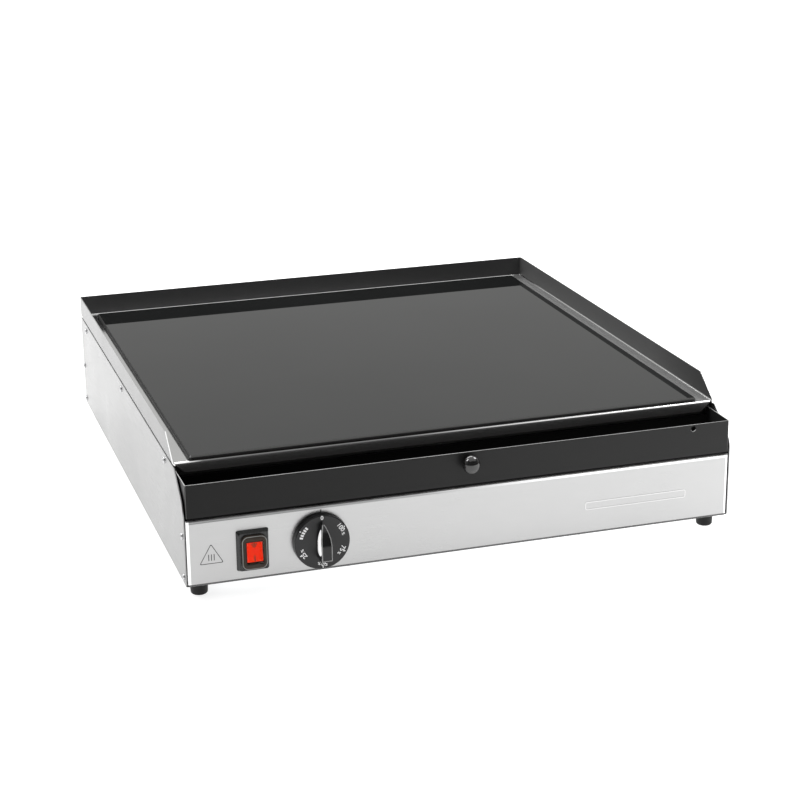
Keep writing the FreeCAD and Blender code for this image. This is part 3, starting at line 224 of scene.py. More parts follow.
def deck_steel():
    """Top pan, steel all over, with its light painted face by face: a bright ledge, rougher outer
    faces in a darker tone, flats on the right half dimmed and matt, a painted highlight on the front
    bend, and dark matt painted reflections on the inner faces of the splash guards, the backsplash and
    the front lip.
    """
    t = Tree("deck_steel")
    x, y, _ = t.position()
    nx, ny, nz = t.normal()
    upright = t.math("LESS_THAN", t.math("ABSOLUTE", nz, 0.0), 0.35)
    lean = t.math("ADD", t.math("MULTIPLY", x, nx), t.math("MULTIPLY", y, ny))
    outward = t.step(lean, 0.0)
    frontward = t.math("LESS_THAN", ny, -0.85)
    lip = t.math("MULTIPLY", frontward, t.math("LESS_THAN", y, 0.0))
    inner = t.math("MULTIPLY", upright, t.math("SUBTRACT", 1.0, outward))
    rear_in = t.math("MULTIPLY", inner, t.math("LESS_THAN", ny, -0.5))
    outer = t.math("SUBTRACT", t.math("MULTIPLY", upright, outward), lip)
    shaded_faces = t.math("MAXIMUM", inner, lip)
    flat = t.step(nz, 0.9)
    # painted shade: flat faces on the right half are dimmed and made matt
    dim_right_flats = t.math("MULTIPLY", flat, t.spread(x, 0, 1, 0.0, 0.20))
    # painted highlight on the front bend, brightest toward both ends
    bend = t.math("MULTIPLY", t.math("LESS_THAN", ny, -0.04), t.step(nz, 0.35))
    bend = t.math("MULTIPLY", bend, t.math("LESS_THAN", y, DECK_LOW.y + 0.02))
    glint = t.math("MAXIMUM", t.spread(x, 0, 1, -0.05, 0.16), t.spread(x, 1, 0, -0.268, -0.250))
    edge = t.blend(glint, grey(0.16), grey(0.88))
    # painted reflection on the inner guard faces: dark, lighter toward the front
    forward = t.spread(y, 1, 0, DECK_LOW.y, DECK_LOW.y + 0.15)
    guard = t.blend(forward, grey(0.105), grey(0.030))
    cloud = t.noise(9.0, 4.0)
    lines = t.noise(1.0, 3.0, 0.6, t.stretched((2400.0, 26.0, 2400.0)))
    shade = t.blend(t.spread(cloud, 0, 1), grey(0.82), grey(0.86))
    shade = t.blend(dim_right_flats, shade, grey(0.235))
    shade = t.blend(bend, shade, edge)
    # painted light by face: darker outer faces; dark painted reflections on the inner faces, the
    # backsplash and the front lip
    shade = t.blend(outer, shade, grey(0.212))
    shade = t.blend(inner, shade, guard)
    shade = t.blend(rear_in, shade, (0.068, 0.068, 0.069))
    shade = t.blend(lip, shade, grey(0.10))
    t.colour(shade)
    matt = t.math("MAXIMUM", t.math("MULTIPLY", shaded_faces, 0.9), t.math("MULTIPLY", dim_right_flats, 0.75))
    t.link(t.math("SUBTRACT", 1.0, matt), t.shader.inputs["Metallic"])
    rough = t.math("ADD", t.math("MULTIPLY", outer, 0.20), t.math("MULTIPLY", shaded_faces, 0.34))
    rough = t.math("ADD", rough, t.math("MULTIPLY", dim_right_flats, 0.15))
    rough = t.math("ADD", rough, t.spread(cloud, 0.10, 0.14))
    t.rough(t.math("ADD", rough, t.spread(lines, -0.02, 0.02)))
    t.bump(lines, 0.02, 0.00002)
    return t.material


def black_glass():
    """Near-black polished plate with a ground bevel, greyer than the face and brightened toward the
    top edge by a painted highlight.
    """
    t = Tree("black_glass")
    cloud = t.noise(6.0, 3.0)
    polished = t.blend(t.spread(cloud, 0, 1), (0.005, 0.0055, 0.0055), (0.008, 0.0085, 0.0085))
    edge = t.math("LESS_THAN", t.normal()[2], 0.97)
    height = t.position()[2]
    # painted highlight: the bevel pales toward the top edge
    glint_toward_top = t.spread(height, 0, 1, GLASS_HIGH.z - 0.0030, GLASS_HIGH.z - 0.0002)
    ground = t.blend(glint_toward_top, grey(0.012), (0.055, 0.055, 0.054))
    t.colour(t.blend(edge, polished, ground))
    t.rough(t.math("ADD", t.spread(t.noise(22.0, 5.0), 0.012, 0.03), t.math("MULTIPLY", edge, 0.3)))
    t.set(IOR=1.46)
    return t.material


def tray_enamel():
    """Semi-matt black coating, brightening from left to right as painted light; the top rim shows wear
    and a painted highlight, the front corners and the lower edge of the hole painted highlights, and
    the bottom fold painted shade.
    """
    under_fold, rim_deep, corner_glint_wide = 0.0022, 0.0006, 0.0008
    ring_wide, ring_start = 0.0005, -0.0010
    t = Tree("tray_enamel")
    x, y, z = t.position()
    fine = t.noise(900.0, 3.0)
    cloud = t.noise(12.0, 4.0)
    # painted light: the coating brightens from left to right
    across = t.spread(x, 0.003, 0.019, TRAY_LOW.x, TRAY_HIGH.x)
    body = t.blend(across, grey(0), grey(1))
    body = t.blend(t.spread(cloud, 0, 0.08), body, grey(0.02))
    # painted shade: the bottom fold is made near-black metal
    shaded_under = t.math("LESS_THAN", z, TRAY_LOW.z + under_fold)
    up = t.step(t.normal()[2], 0.8)
    rim = t.math("MULTIPLY", up, t.step(z, TRAY_HIGH.z - rim_deep))
    # painted highlights on the two front corners
    end = t.step(t.math("ABSOLUTE", x, 0.0), TRAY_HIGH.x - corner_glint_wide)
    front = t.math("LESS_THAN", y, TRAY_LOW.y + corner_glint_wide)
    corner = t.math("MULTIPLY", end, front)
    dx = t.math("SUBTRACT", x, HOLE_X)
    dz = t.math("SUBTRACT", z, HOLE_Z)
    away = t.math("ADD", t.math("MULTIPLY", dx, dx), t.math("MULTIPLY", dz, dz))
    # painted highlight on the lower edge of the pour hole
    ring = t.math("LESS_THAN", away, (HOLE_RADIUS + ring_wide) ** 2)
    hole_glint = t.math("MULTIPLY", ring, t.math("LESS_THAN", dz, ring_start))
    # top rim: blotchy wear with a painted highlight along it
    worn_rim_glint = t.math("MULTIPLY", rim, t.spread(t.noise(30.0), 0.6, 1.0))
    shade = t.blend(worn_rim_glint, body, grey(0.45))
    shade = t.blend(corner, shade, grey(0.11))
    shade = t.blend(hole_glint, shade, grey(0.22))
    t.colour(t.blend(shaded_under, shade, grey(0.003)))
    t.link(shaded_under, t.shader.inputs["Metallic"])
    t.rough(t.spread(fine, 0.34, 0.44))
    t.set(Specular_IOR_Level=0.22)
    t.bump(fine, 0.05, 0.00004)
    return t.material


def moulded(name, dark, light, rough, texture=0.06, scale=1400.0, gloss=0.5, polished_edges=False):
    """Injection-moulded or rubber-like surface with a fine texture."""
    t = Tree(name)
    fine = t.noise(scale, 2.0)
    cloud = t.noise(40.0, 4.0)
    t.colour(t.blend(t.spread(cloud, 0, 1), dark, light))
    surface = t.spread(fine, rough * 0.88, rough * 1.12)
    if polished_edges:
        facing = t.math("ABSOLUTE", t.normal()[1], 0.0)
        turning = t.math("MULTIPLY", t.step(facing, 0.25), t.math("LESS_THAN", facing, 0.97))
        surface = t.math("SUBTRACT", surface, t.math("MULTIPLY", turning, rough * 0.6))
    t.rough(surface)
    t.bump(fine, texture, 0.00005)
    t.set(Specular_IOR_Level=gloss)
    return t.material


def metal(name, dark, light, rough, scale=60.0):
    """Plain metal with faint blotches in its colour and finer ones in its gloss."""
    t = Tree(name)
    t.set(Metallic=1.0)
    cloud = t.noise(scale, 5.0)
    t.colour(t.blend(t.spread(cloud, 0, 1), dark, light))
    t.rough(t.spread(t.noise(scale * 6, 3.0), rough - 0.05, rough + 0.05))
    return t.material


def galvanised():
    """Zinc-coated sheet with its crystal spangle."""
    t = Tree("galvanised")
    t.set(Metallic=1.0)
    node = t.add("ShaderNodeTexVoronoi")
    node.inputs["Scale"].default_value = 90.0
    t.link(t.coords, node.inputs["Vector"])
    bits = t.add("ShaderNodeSeparateColor")
    t.link(node.outputs["Color"], bits.inputs["Color"])
    spangle = bits.outputs[0]
    t.colour(t.blend(spangle, (0.42, 0.44, 0.45), (0.62, 0.64, 0.66)))
    t.rough(t.spread(spangle, 0.32, 0.48, 0, 1))
    return t.material


def rocker_painted_glow():
    """Translucent orange-red moulding with a painted glow."""
    t = Tree("rocker_painted_glow")
    cloud = t.noise(120.0, 3.0)
    shade = t.blend(t.spread(cloud, 0, 1), (0.46, 0.009, 0.0002), (0.56, 0.014, 0.0004))
    t.colour(shade)
    t.rough(t.spread(t.noise(500.0, 2.0), 0.30, 0.40))
    # painted glow: the rocker's own colour is emitted
    t.link(shade, t.shader.inputs["Emission Color"])
    t.set(Emission_Strength=1.1, Specular_IOR_Level=0.06)
    return t.material


def clear_moulding():
    """Sealing cap: clear over the rocker, smoky where it stands edge-on round it."""
    window_half_wide, window_half_high = 0.0077, 0.0108
    t = Tree("clear_moulding")
    x, _, z = t.position()
    across = t.math("ABSOLUTE", t.math("SUBTRACT", x, SWITCH_X), 0.0)
    along = t.math("ABSOLUTE", t.math("SUBTRACT", z, SWITCH_Z), 0.0)
    tinted = t.math("MAXIMUM", t.step(across, window_half_wide), t.step(along, window_half_high))
    beside = t.spread(across, 0, 1, 0.0075, 0.0090)
    above = t.spread(along, 0, 1, 0.0106, 0.0122)
    thick = t.math("MAXIMUM", beside, above)
    cloud = t.noise(90.0, 3.0)
    smoke = t.blend(t.spread(cloud, 0, 1), (0.045, 0.036, 0.030), (0.070, 0.056, 0.046))
    t.colour(t.blend(tinted, (0.98, 0.92, 0.72), smoke))
    t.rough(t.spread(cloud, 0.04, 0.09))
    clear = t.math("SUBTRACT", 1.0, t.math("MULTIPLY", thick, 0.9))
    t.link(clear, t.shader.inputs["Transmission Weight"])
    t.set(IOR=1.16)
    return t.material


def printed(name, tone, rough=0.5, glow=0.0):
    """Screen-printed ink, or with glow set a painted highlight that glows a little."""
    t = Tree(name)
    grain = t.noise(2500.0, 2.0)
    light = tuple(min(1.0, c * 1.06) for c in tone)
    dark = tuple(c * 0.9 for c in tone)
    shade = t.blend(t.spread(grain, 0, 1), dark, light)
    t.colour(shade)
    t.rough(t.spread(grain, rough - 0.05, rough + 0.05))
    if glow:
        t.link(shade, t.shader.inputs["Emission Color"])
        t.set(Emission_Strength=glow)
    return t.material


MAT = {
    "casing": sheet_steel("casing_steel", grey(0.447), 0.32, 0),
    "front": sheet_steel("front_steel", grey(0.447), 0.32, 0, folded=True),
    # side panels: the casing steel in a darker tone, a painted shade
    "side": sheet_steel("side_steel", grey(0.302), 0.32, 1),
    "deck": deck_steel(),
    "glass": black_glass(),
    "seal": moulded("sealant", grey(0.02), grey(0.03), 0.6),
    "tray": tray_enamel(),
    "knob": moulded("knob_gloss", grey(0.004), grey(0.008), 0.06, 0.0, gloss=0.85),
    "dial": moulded("dial_moulding", (0.008, 0.008, 0.0085), (0.013, 0.013, 0.0135), 0.34, 0.05,
                    gloss=0.38, polished_edges=True),
    "bezel": moulded("bezel_moulding", (0.012, 0.013, 0.013), (0.018, 0.019, 0.019), 0.26, 0.04,
                     polished_edges=True),
    "rocker": rocker_painted_glow(),
    "boot": clear_moulding(),
    "rubber": moulded("foot_rubber", grey(0.005), grey(0.010), 0.5, 0.1, gloss=0.3),
    "black": moulded("black_moulding", grey(0.02), grey(0.035), 0.45),
    "screw": metal("screw_plating", (0.52, 0.52, 0.53), (0.66, 0.66, 0.67), 0.36, 300.0),
    "spring": metal("spring_steel", (0.45, 0.46, 0.48), (0.6, 0.61, 0.62), 0.3),
    "ribbon": metal("ribbon_alloy", (0.20, 0.16, 0.14), (0.32, 0.27, 0.24), 0.5),
    "brass": metal("brass", (0.62, 0.46, 0.18), (0.78, 0.60, 0.28), 0.3),
    "zinc": galvanised(),
    "fibre": moulded("fibre_board", (0.60, 0.56, 0.48), (0.78, 0.74, 0.66), 0.9, 0.5, 700.0),
    "ceramic": moulded("ceramic", (0.70, 0.66, 0.58), (0.82, 0.79, 0.71), 0.3, 0.05),
    "nylon": moulded("nylon", (0.66, 0.63, 0.54), (0.78, 0.75, 0.67), 0.45),
    "white": moulded("block_white", (0.70, 0.70, 0.67), (0.80, 0.80, 0.78), 0.45),
    "lamp": moulded("lamp_glass", (0.75, 0.30, 0.10), (0.90, 0.42, 0.18), 0.12, 0.0),
    "brown": moulded("lead_brown", (0.09, 0.035, 0.015), (0.14, 0.06, 0.03), 0.5),
    "green": moulded("lead_green", (0.03, 0.22, 0.03), (0.06, 0.32, 0.05), 0.5),
    "ink_white": printed("ink_white", grey(0.86)),
    # painted highlight on the grip's left flank, glowing a little
    "flank_glint": printed("painted_flank_highlight", grey(0.90), 0.4, glow=0.55),
    # painted highlight lines on the grip's edges
    "edge_grey": printed("grip_edge_highlight", grey(0.30), 0.3),
    "ink_grey": printed("ink_grey", grey(0.035)),
    "ink_dark": printed("ink_dark", grey(0.05)),
    "ink_rocker": printed("ink_rocker", (0.012, 0.002, 0.001)),
    # painted highlight line round the sealing cap
    "lip": moulded("boot_lip_highlight", (0.16, 0.16, 0.15), (0.30, 0.30, 0.29), 0.22, 0.02, 60.0),
    # raised frame: the casing steel in a brighter tone, a painted highlight
    "strip": sheet_steel("strip_steel", grey(0.60), 0.30, 0),
}

DRESS = {
    "casing": ["rear_panel", "tray_shelf"],
    "front": ["front_panel"],
    "side": ["left_side_panel", "right_side_panel"],
    "deck": ["deck"],
    "glass": ["glass_plate"],
    "seal": ["glass_seal"],
    "tray": ["drip_tray"],
    "knob": ["tray_knob"],
    "dial": ["dial_knob"],
    "bezel": ["switch_frame"],
    "rocker": ["switch_rocker"],
    "boot": ["switch_boot"],
    "rubber": ["foot_front_left", "foot_front_right", "foot_rear_left", "foot_rear_right"],
    "black": ["regulator_housing", "regulator_cover", "switch_body", "gland_body", "gland_cap",
              "gland_nut"],
    "screw": ["side_screws_left", "side_screws_right", "bottom_screws", "foot_screws",
              "tray_knob_screw", "regulator_screws", "regulator_shaft"],
    "spring": ["heater_springs", "dial_clip"],
    "ribbon": ["heater_ribbon_left", "heater_ribbon_right"],
    "brass": ["regulator_terminals", "switch_terminals", "terminal_screws", "earth_stud"],
    "zinc": ["bottom_plate", "deck_bracket_left", "deck_bracket_right", "deck_bracket_rear",
             "heater_pan_left", "heater_pan_right", "heater_rail_front", "heater_rail_rear",
             "heat_shield"],
    "fibre": ["heater_insulation_left", "heater_insulation_right"],
    "ceramic": ["heater_limiter_left", "heater_limiter_right", "thermal_cutout"],
    "nylon": ["regulator_cam"],
    "white": ["terminal_block"],
    "lamp": ["switch_lamp"],
    "brown": ["wire_live", "wire_switch_link", "wire_heater"],
    "green": ["wire_earth"],
}

for key, names in DRESS.items():
    for name in names:
        mesh = NODES[name].data
        mesh.materials.clear()
        mesh.materials.append(MAT[key])
UNDRESSED = sorted(set(NODES) - {n for names in DRESS.values() for n in names})
if UNDRESSED:
    print("no material for", UNDRESSED)


# ------------------------------------------------------------------ printed and small visual pieces
def link(obj):
    """Put an object into the scene and hand it back."""
    bpy.context.scene.collection.objects.link(obj)
    return obj


def piece(name, bm, material, body):
    """Finish a mesh piece and let it ride on a body."""
    mesh = bpy.data.meshes.new(name)
    bmesh.ops.recalc_face_normals(bm, faces=bm.faces)
    bm.to_mesh(mesh)
    bm.free()
    mesh.materials.append(MAT[material])
    obj = link(bpy.data.objects.new(name, mesh))
    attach(obj, body)
    return obj


def loft(bm, rows, capped=True):
    """Join rows of vertices, each row a closed outline, and close both ends if capped."""
    if capped:
        bm.faces.new(rows[0])
        bm.faces.new(rows[-1][::-1])
    for a, b in zip(rows, rows[1:]):
        count = len(a)
        for k in range(count):
            n = (k + 1) % count
            bm.faces.new((a[k], a[n], b[n], b[k]))


def slab(bm, outline, y, thickness):
    """Thin plate whose outline is given as (x, z) pairs, standing on the plane y and facing front."""
    levels = (y, y - thickness)
    loft(bm, [[bm.verts.new((x, level, z)) for x, z in outline] for level in levels])


def ring(bm, outer, inner, y, thickness):
    """Raised closed line between two outlines with the same number of points."""
    rows = []
    for outline, level in ((outer, y), (outer, y - thickness), (inner, y - thickness), (inner, y)):
        rows.append([bm.verts.new((x, level, z)) for x, z in outline])
    loft(bm, rows, capped=False)


def oblong(width, height, x=0.0, z=0.0):
    """Outline of a plain rectangle about (x, z)."""
    w, h = width / 2, height / 2
    return [(x - w, z - h), (x + w, z - h), (x + w, z + h), (x - w, z + h)]


def moved(points, centre):
    """Shift (x, z) points by a centre."""
    return [(centre[0] + x, centre[1] + z) for x, z in points]


def turned(points, centre, angle):
    """Turn (x, z) points clockwise, as seen from the front, about a centre."""
    c, s = math.cos(angle), math.sin(angle)
    return [(centre[0] + x * c + z * s, centre[1] - x * s + z * c) for x, z in points]


def rounded_box(width, height, radius, steps=4):
    """Outline of a rectangle with rounded corners, centred on zero."""
    points = []
    for k, (sx, sz) in enumerate(((1, 1), (-1, 1), (-1, -1), (1, -1))):
        cx, cz = sx * (width / 2 - radius), sz * (height / 2 - radius)
        for j in range(steps + 1):
            a = math.pi / 2 * (k + j / steps)
            points.append((cx + radius * math.cos(a), cz + radius * math.sin(a)))
    return points


def rounded_triangle(centre, radius, corner, steps=5):
    """Outline of an upright triangle with rounded corners."""
    points = []
    for k in range(3):
        a = math.pi / 2 + k * 2 * math.pi / 3
        cx = centre[0] + (radius - 2 * corner) * math.cos(a)
        cz = centre[1] + (radius - 2 * corner) * math.sin(a)
        for j in range(steps + 1):
            b = a - math.pi / 3 + 2 * math.pi / 3 * j / steps
            points.append((cx + corner * math.cos(b), cz + corner * math.sin(b)))
    return points


def label(text, size, angle, radius):
    """A printed number on the dial, its top pointing outwards."""
    height = DIAL_Z + MARK_RISE + radius * math.cos(angle)
    curve = bpy.data.curves.new("mark_" + text, "FONT")
    curve.body = text
    curve.size = size
    curve.align_x = "CENTER"
    curve.align_y = "CENTER"
    curve.extrude = 0.00004
    curve.offset = size * 0.02
    curve.materials.append(MAT["ink_white"])
    obj = link(bpy.data.objects.new("mark_" + text, curve))
    obj.location = (DIAL_X + radius * math.sin(angle), DIAL_FACE - 0.00005, height)
    obj.rotation_euler = (math.pi / 2, angle, 0)
    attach(obj, "dial")
    return obj


def build_dial_marks():
    """Numbers with percent signs, a dot beside each, and five plain blocks in place of a word."""
    zero_size, number_size, percent_size = 0.0056, 0.0062, 0.0040
    zero_ring, number_ring, fifty_ring = 0.0237, 0.0217, 0.0230
    dot_ring, fifty_dot_ring, block_ring = 0.0249, 0.0264, 0.0214
    digit_wide, gap, shift, percent_drop = 0.0036, 0.0004, 0.0014, 0.0007
    for place, text in ((0, "0"), (1, "100"), (2, "75"), (3, "50"), (4, "25")):
        angle = place * MARK_STEP
        if text == "0":
            label(text, zero_size, angle, zero_ring)
            continue
        wide = digit_wide * len(text)
        reach = fifty_ring if text == "50" else number_ring
        label(text, number_size, angle - shift / reach, reach)
        after = angle + (wide / 2 + gap) / reach
        percent = label("%", percent_size, after, reach - percent_drop)
        percent.name = "mark_percent_" + text
    centre = (DIAL_X, DIAL_Z + MARK_RISE)
    radius = 0.0007
    bm = bmesh.new()
    for place in range(1, 6):
        reach = fifty_dot_ring if place == 3 else dot_ring
        dot = []
        for k in range(12):
            a = math.pi * k / 6
            dot.append((radius * math.sin(a), reach + radius * math.cos(a)))
        slab(bm, turned(dot, centre, place * MARK_STEP), DIAL_FACE + SUNK, DIAL_PRINT)
    piece("dial_dots", bm, "ink_white", "dial")
    bm = bmesh.new()
    block = oblong(0.0018, 0.0032, 0.0, block_ring)
    for k in range(5):
        angle = 5 * MARK_STEP + (k - 2) * 0.125
        slab(bm, turned(block, centre, angle), DIAL_FACE + SUNK, DIAL_PRINT)
    piece("dial_blocks", bm, "ink_white", "dial")


def grip_flank(z):
    """Distance from the middle of the grip to its flank, at a height z above the dial's axis."""
    arch = (GRIP_RISE * GRIP_RISE + GRIP_HALF * GRIP_HALF) / (2 * GRIP_HALF)
    above = max(0.0, z - GRIP_SPRING)
    return max(0.0, GRIP_HALF - (arch - math.sqrt(arch * arch - above * above)))


def grip_top(z):
    """How far the grip stands out from the disc at a height z above the dial's axis."""
    level_end, knee = 0.0010, 0.0115
    knee_drop = 0.0042
    if z <= level_end:
        return GRIP_CREST
    if z <= knee:
        return GRIP_CREST - knee_drop * (z - level_end) / (knee - level_end)
    return max(0.0, (GRIP_CREST - knee_drop) * (GRIP_NOSE - z) / (GRIP_NOSE - knee))


def build_flank_highlight():
    """Painted highlight along the left flank of the grip, a thin glowing plate: broad and round below,
    a blade above.
    """
    low, high = -0.0094, 0.0156
    round_end, blade_start, foot_bend = 0.16, 0.92, 0.45
    sunk, proud = 0.0003, -0.0001
    steps = 26
    rows = []
    bm = bmesh.new()
    for k in range(steps + 1):
        u = k / steps
        z = low + (high - low) * u
        top = grip_top(z) - 0.0007
        foot = 0.0028 + 0.0022 * max(0.0, (u - foot_bend) / (1 - foot_bend)) ** 1.3
        middle = (top + foot) / 2
        swell = 1.0
        if u < round_end:
            swell = math.sqrt(1 - (1 - u / round_end) ** 2)
        if u > blade_start:
            swell = math.sqrt(1 - ((u - blade_start) / (1 - blade_start)) ** 2)
        reach = max(0.0001, (top - foot) / 2 * swell)
        x = DIAL_X - grip_flank(z)
        corners = ((sunk, middle - reach), (proud, middle - reach), (proud, middle + reach),
                   (sunk, middle + reach))
        rows.append([bm.verts.new((x + dx, DIAL_FACE - up, DIAL_Z + z)) for dx, up in corners])
    loft(bm, rows)
    piece("dial_flank_highlight", bm, "flank_glint", "dial")


def thread_line(bm, points, width):
    """Square thread through a list of points, half sunk into the surface that faces front."""
    out = Vector((0, -width / 2, 0))
    rows = []
    for k, here in enumerate(points):
        before = points[max(0, k - 1)]
        after = points[min(len(points) - 1, k + 1)]
        along = (after - before).normalized()
        across = along.cross(Vector((0, -1, 0))).normalized() * width / 2
        corners = (across + out, out - across, -across - out, across - out)
        rows.append([bm.verts.new(here + corner) for corner in corners])
    loft(bm, rows)


def front_of(node):
    """Function that gives the foremost point of a piece at a place (x, z)."""
    mesh = NODES[node].data
    corners = [v.co for v in mesh.vertices]
    skin = BVHTree.FromPolygons(corners, [tuple(p.vertices) for p in mesh.polygons])

    def find(x, z):
        return skin.ray_cast(Vector((x, PANEL_Y - 0.05, z)), Vector((0, 1, 0)))[0]
    return find


def build_grip_edges():
    """Painted highlight lines along the edges of the grip's top face."""
    inset = 0.0005
    low, high = GRIP_TAIL + 0.0016, GRIP_NOSE - 0.0030
    steps = 30
    find = front_of("dial_knob")
    bm = bmesh.new()
    for side, width in ((-1, 0.0010), (1, 0.0008)):
        points = []
        for k in range(steps + 1):
            z = low + (high - low) * k / steps
            x = side * max(0.0001, grip_flank(z) - inset)
            points.append(find(DIAL_X + x, DIAL_Z + z))
        thread_line(bm, points, width)
    end_fold_glints = [Vector((DIAL_X + x, DIAL_FACE - GRIP_CREST, DIAL_Z + low)) for x in (-0.0049, 0.0049)]
    thread_line(bm, end_fold_glints, 0.0005)
    piece("grip_edges", bm, "edge_grey", "dial")


def build_panel_marks():
    """Tick above the dial, a plain triangle with three bars, and a blank raised frame."""
    sign_radius, sign_line = 0.0135, 0.0013
    strip_wide, strip_high, strip_line = 0.109, 0.0085, 0.0009
    level = PANEL_Y + SUNK
    bm = bmesh.new()
    slab(bm, oblong(0.0012, 0.0028, DIAL_X + 0.0009, DIAL_Z + 0.0292), level, PANEL_PRINT)
    piece("dial_index", bm, "ink_dark", "casing")
    bm = bmesh.new()
    outer = rounded_triangle(SIGN_CENTRE, sign_radius, 0.0010)
    inner = rounded_triangle(SIGN_CENTRE, sign_radius - sign_line, 0.0007)
    ring(bm, outer, inner, level, PANEL_PRINT)
    for k in (-1, 0, 1):
        bar = oblong(0.0008, 0.0064, k * 0.0026, -0.0004)
        slab(bm, moved(bar, SIGN_CENTRE), level, PANEL_PRINT)
    piece("panel_triangle", bm, "ink_grey", "casing")
    bm = bmesh.new()
    outer = moved(rounded_box(strip_wide, strip_high, 0.0020), STRIP_CENTRE)
    hollow = rounded_box(strip_wide - 2 * strip_line, strip_high - 2 * strip_line, 0.0020 - strip_line)
    inner = moved(hollow, STRIP_CENTRE)
    ring(bm, outer, inner, level, 0.0003)
    piece("panel_strip", bm, "strip", "casing")


def build_rocker_marks():
    """Arrow notch and short bar, laid on the face of the rocker as it stands in the frame."""
    proud = Vector((0, -0.00005, 0))
    steps = 6
    find = front_of("switch_rocker")
    bm = bmesh.new()
    for start, end, width in (((-0.0026, 0.0082), (0.0, 0.0046), 0.0009),
                              ((0.0026, 0.0082), (0.0, 0.0046), 0.0009),
                              ((0.0, 0.0090), (0.0, 0.0070), 0.0012),
                              ((0.0, -0.0034), (0.0, -0.0084), 0.0010)):
        points = []
        for k in range(steps + 1):
            u = k / steps
            x = start[0] + (end[0] - start[0]) * u
            z = start[1] + (end[1] - start[1]) * u
            points.append(find(SWITCH_X + x, SWITCH_Z + z) + proud)
        thread_line(bm, points, width)
    piece("rocker_marks", bm, "ink_rocker", "rocker")


def build_boot_lip():
    """Painted highlight line along the shoulder of the sealing cap."""
    find = front_of("switch_boot")
    outline = rounded_box(0.0232, 0.0324, 0.0056, 8)
    points = [find(SWITCH_X + x, SWITCH_Z + z) for x, z in outline + outline[:1]]
    bm = bmesh.new()
    thread_line(bm, points, 0.0007)
    piece("boot_lip_highlight", bm, "lip", "casing")


build_dial_marks()
build_flank_highlight()
build_grip_edges()
build_panel_marks()
build_rocker_marks()
build_boot_lip()


# ------------------------------------------------------------------ camera
SENSOR_WIDE = 36.0
LENS = 87.2352
CLIP_END = 1000.0
YAW = math.radians(17.66)
PITCH = math.radians(-18.36)
ROLL = math.radians(-0.61)
CAMERA_X, CAMERA_AHEAD, CAMERA_Z = -0.59322, 1.64904, 0.75105


def build_camera():
    """Camera at the photograph's viewing angle, turned by yaw, pitch and roll."""
    look = Vector((math.sin(YAW) * math.cos(PITCH), math.cos(YAW) * math.cos(PITCH), math.sin(PITCH)))
    flat_right = Vector((math.cos(YAW), -math.sin(YAW), 0))
    flat_up = flat_right.cross(look)
    right = flat_right * math.cos(ROLL) + flat_up * math.sin(ROLL)
    up = flat_up * math.cos(ROLL) - flat_right * math.sin(ROLL)
    data = bpy.data.cameras.new("camera")
    data.sensor_width = SENSOR_WIDE
    data.lens = LENS
    data.clip_end = CLIP_END
    camera = link(bpy.data.objects.new("camera", data))
    camera.location = (CAMERA_X, PANEL_Y - CAMERA_AHEAD, CAMERA_Z)
    camera.rotation_mode = "QUATERNION"
    camera.rotation_quaternion = Matrix((right, up, -look)).transposed().to_quaternion()
    bpy.context.scene.camera = camera


build_camera()


# ------------------------------------------------------------------ floor, world and lights
FLOOR_HALF = 240.0
FLOOR_DROP = 0.0002


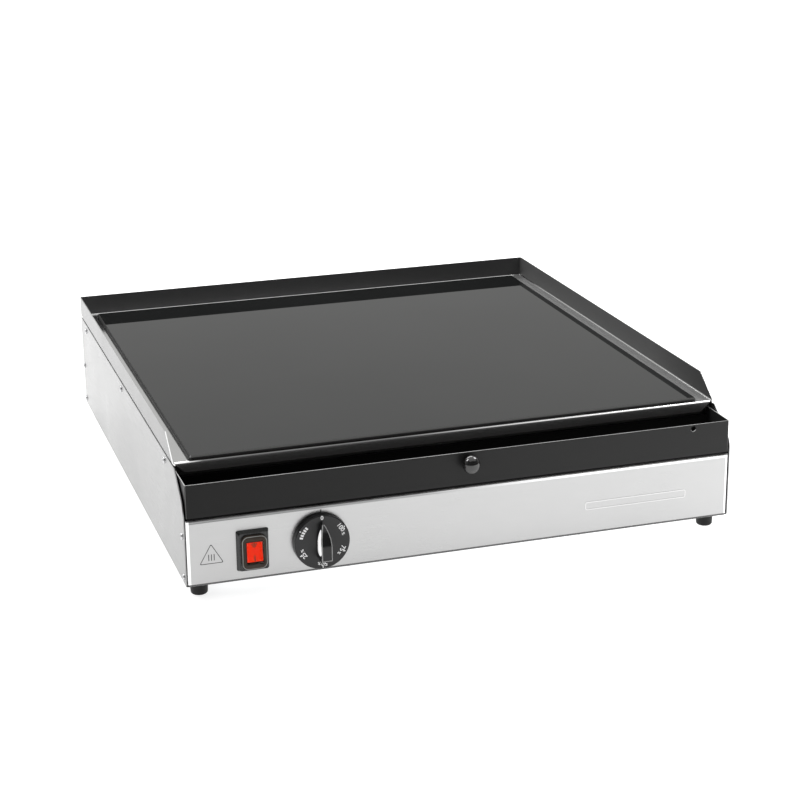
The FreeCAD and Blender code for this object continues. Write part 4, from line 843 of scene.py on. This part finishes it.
def build_floor():
    """Wide pale sheet lit from below like a light table, a little more behind and to the right."""
    mesh = bpy.data.meshes.new("floor")
    bm = bmesh.new()
    bmesh.ops.create_grid(bm, x_segments=8, y_segments=8, size=FLOOR_HALF)
    bm.to_mesh(mesh)
    bm.free()
    t = Tree("floor_paper")
    t.set(Specular_IOR_Level=0.1, Emission_Color=(1.0, 1.0, 1.0, 1.0))
    x, y, _ = t.position()
    across = t.math("ADD", x, t.math("MULTIPLY", y, 0.43))
    glow = t.spread(across, 0.72, 1.20, -0.55, 0.25)
    t.link(glow, t.shader.inputs["Emission Strength"])
    t.colour(t.blend(t.noise(3.0, 3.0), grey(0.50), grey(0.52)))
    t.rough(t.spread(t.noise(40.0), 0.8, 0.9))
    mesh.materials.append(t.material)
    floor = link(bpy.data.objects.new("floor", mesh))
    floor.location.z = -FLOOR_DROP


def area_light(name, place, aim, size, radiance):
    """Rectangular soft box; its power follows from the radiance of its face."""
    data = bpy.data.lights.new(name, "AREA")
    data.shape = "RECTANGLE"
    data.size, data.size_y = size
    data.energy = radiance * math.pi * size[0] * size[1]
    lamp = link(bpy.data.objects.new(name, data))
    lamp.location = place
    direction = Vector(aim) - Vector(place)
    lamp.rotation_mode = "QUATERNION"
    lamp.rotation_quaternion = direction.to_track_quat("-Z", "Y")
    lamp.visible_camera = False
    return lamp


def build_world():
    """Grey studio walls, darker in front of the object than behind it."""
    world = bpy.data.worlds.new("studio")
    world.use_nodes = True
    tree = world.node_tree
    background = tree.nodes["Background"]
    coords = tree.nodes.new("ShaderNodeTexCoord")
    parts = tree.nodes.new("ShaderNodeSeparateXYZ")
    tree.links.new(coords.outputs["Generated"], parts.inputs["Vector"])
    ramp = tree.nodes.new("ShaderNodeMapRange")
    ramp.interpolation_type = "SMOOTHSTEP"
    ramp.inputs["From Min"].default_value = -0.7
    ramp.inputs["From Max"].default_value = 0.5
    ramp.inputs["To Min"].default_value = 0.12
    ramp.inputs["To Max"].default_value = 0.52
    tree.links.new(parts.outputs["Y"], ramp.inputs["Value"])
    background.inputs["Color"].default_value = (1.0, 1.0, 0.985, 1.0)
    tree.links.new(ramp.outputs["Result"], background.inputs["Strength"])
    bpy.context.scene.world = world


build_floor()
build_world()
area_light("top_box", (0.45, 0.0, 1.9), (0.45, 0, 0), (3.2, 3.6), 0.9)
area_light("rear_top_box", (0.0, 2.1, 2.2), (0, 0, 0.1), (2.4, 0.8), 6.0)
area_light("left_box", (-1.5, 0.2, 1.85), (0, -0.3, 0.1), (0.8, 0.9), 10.0)
area_light("right_box", (1.5, 0.2, 1.85), (0, -0.3, 0.1), (0.7, 0.9), 10.0)
bpy.context.scene.view_settings.view_transform = "Standard"
bpy.context.scene.view_settings.look = "None"
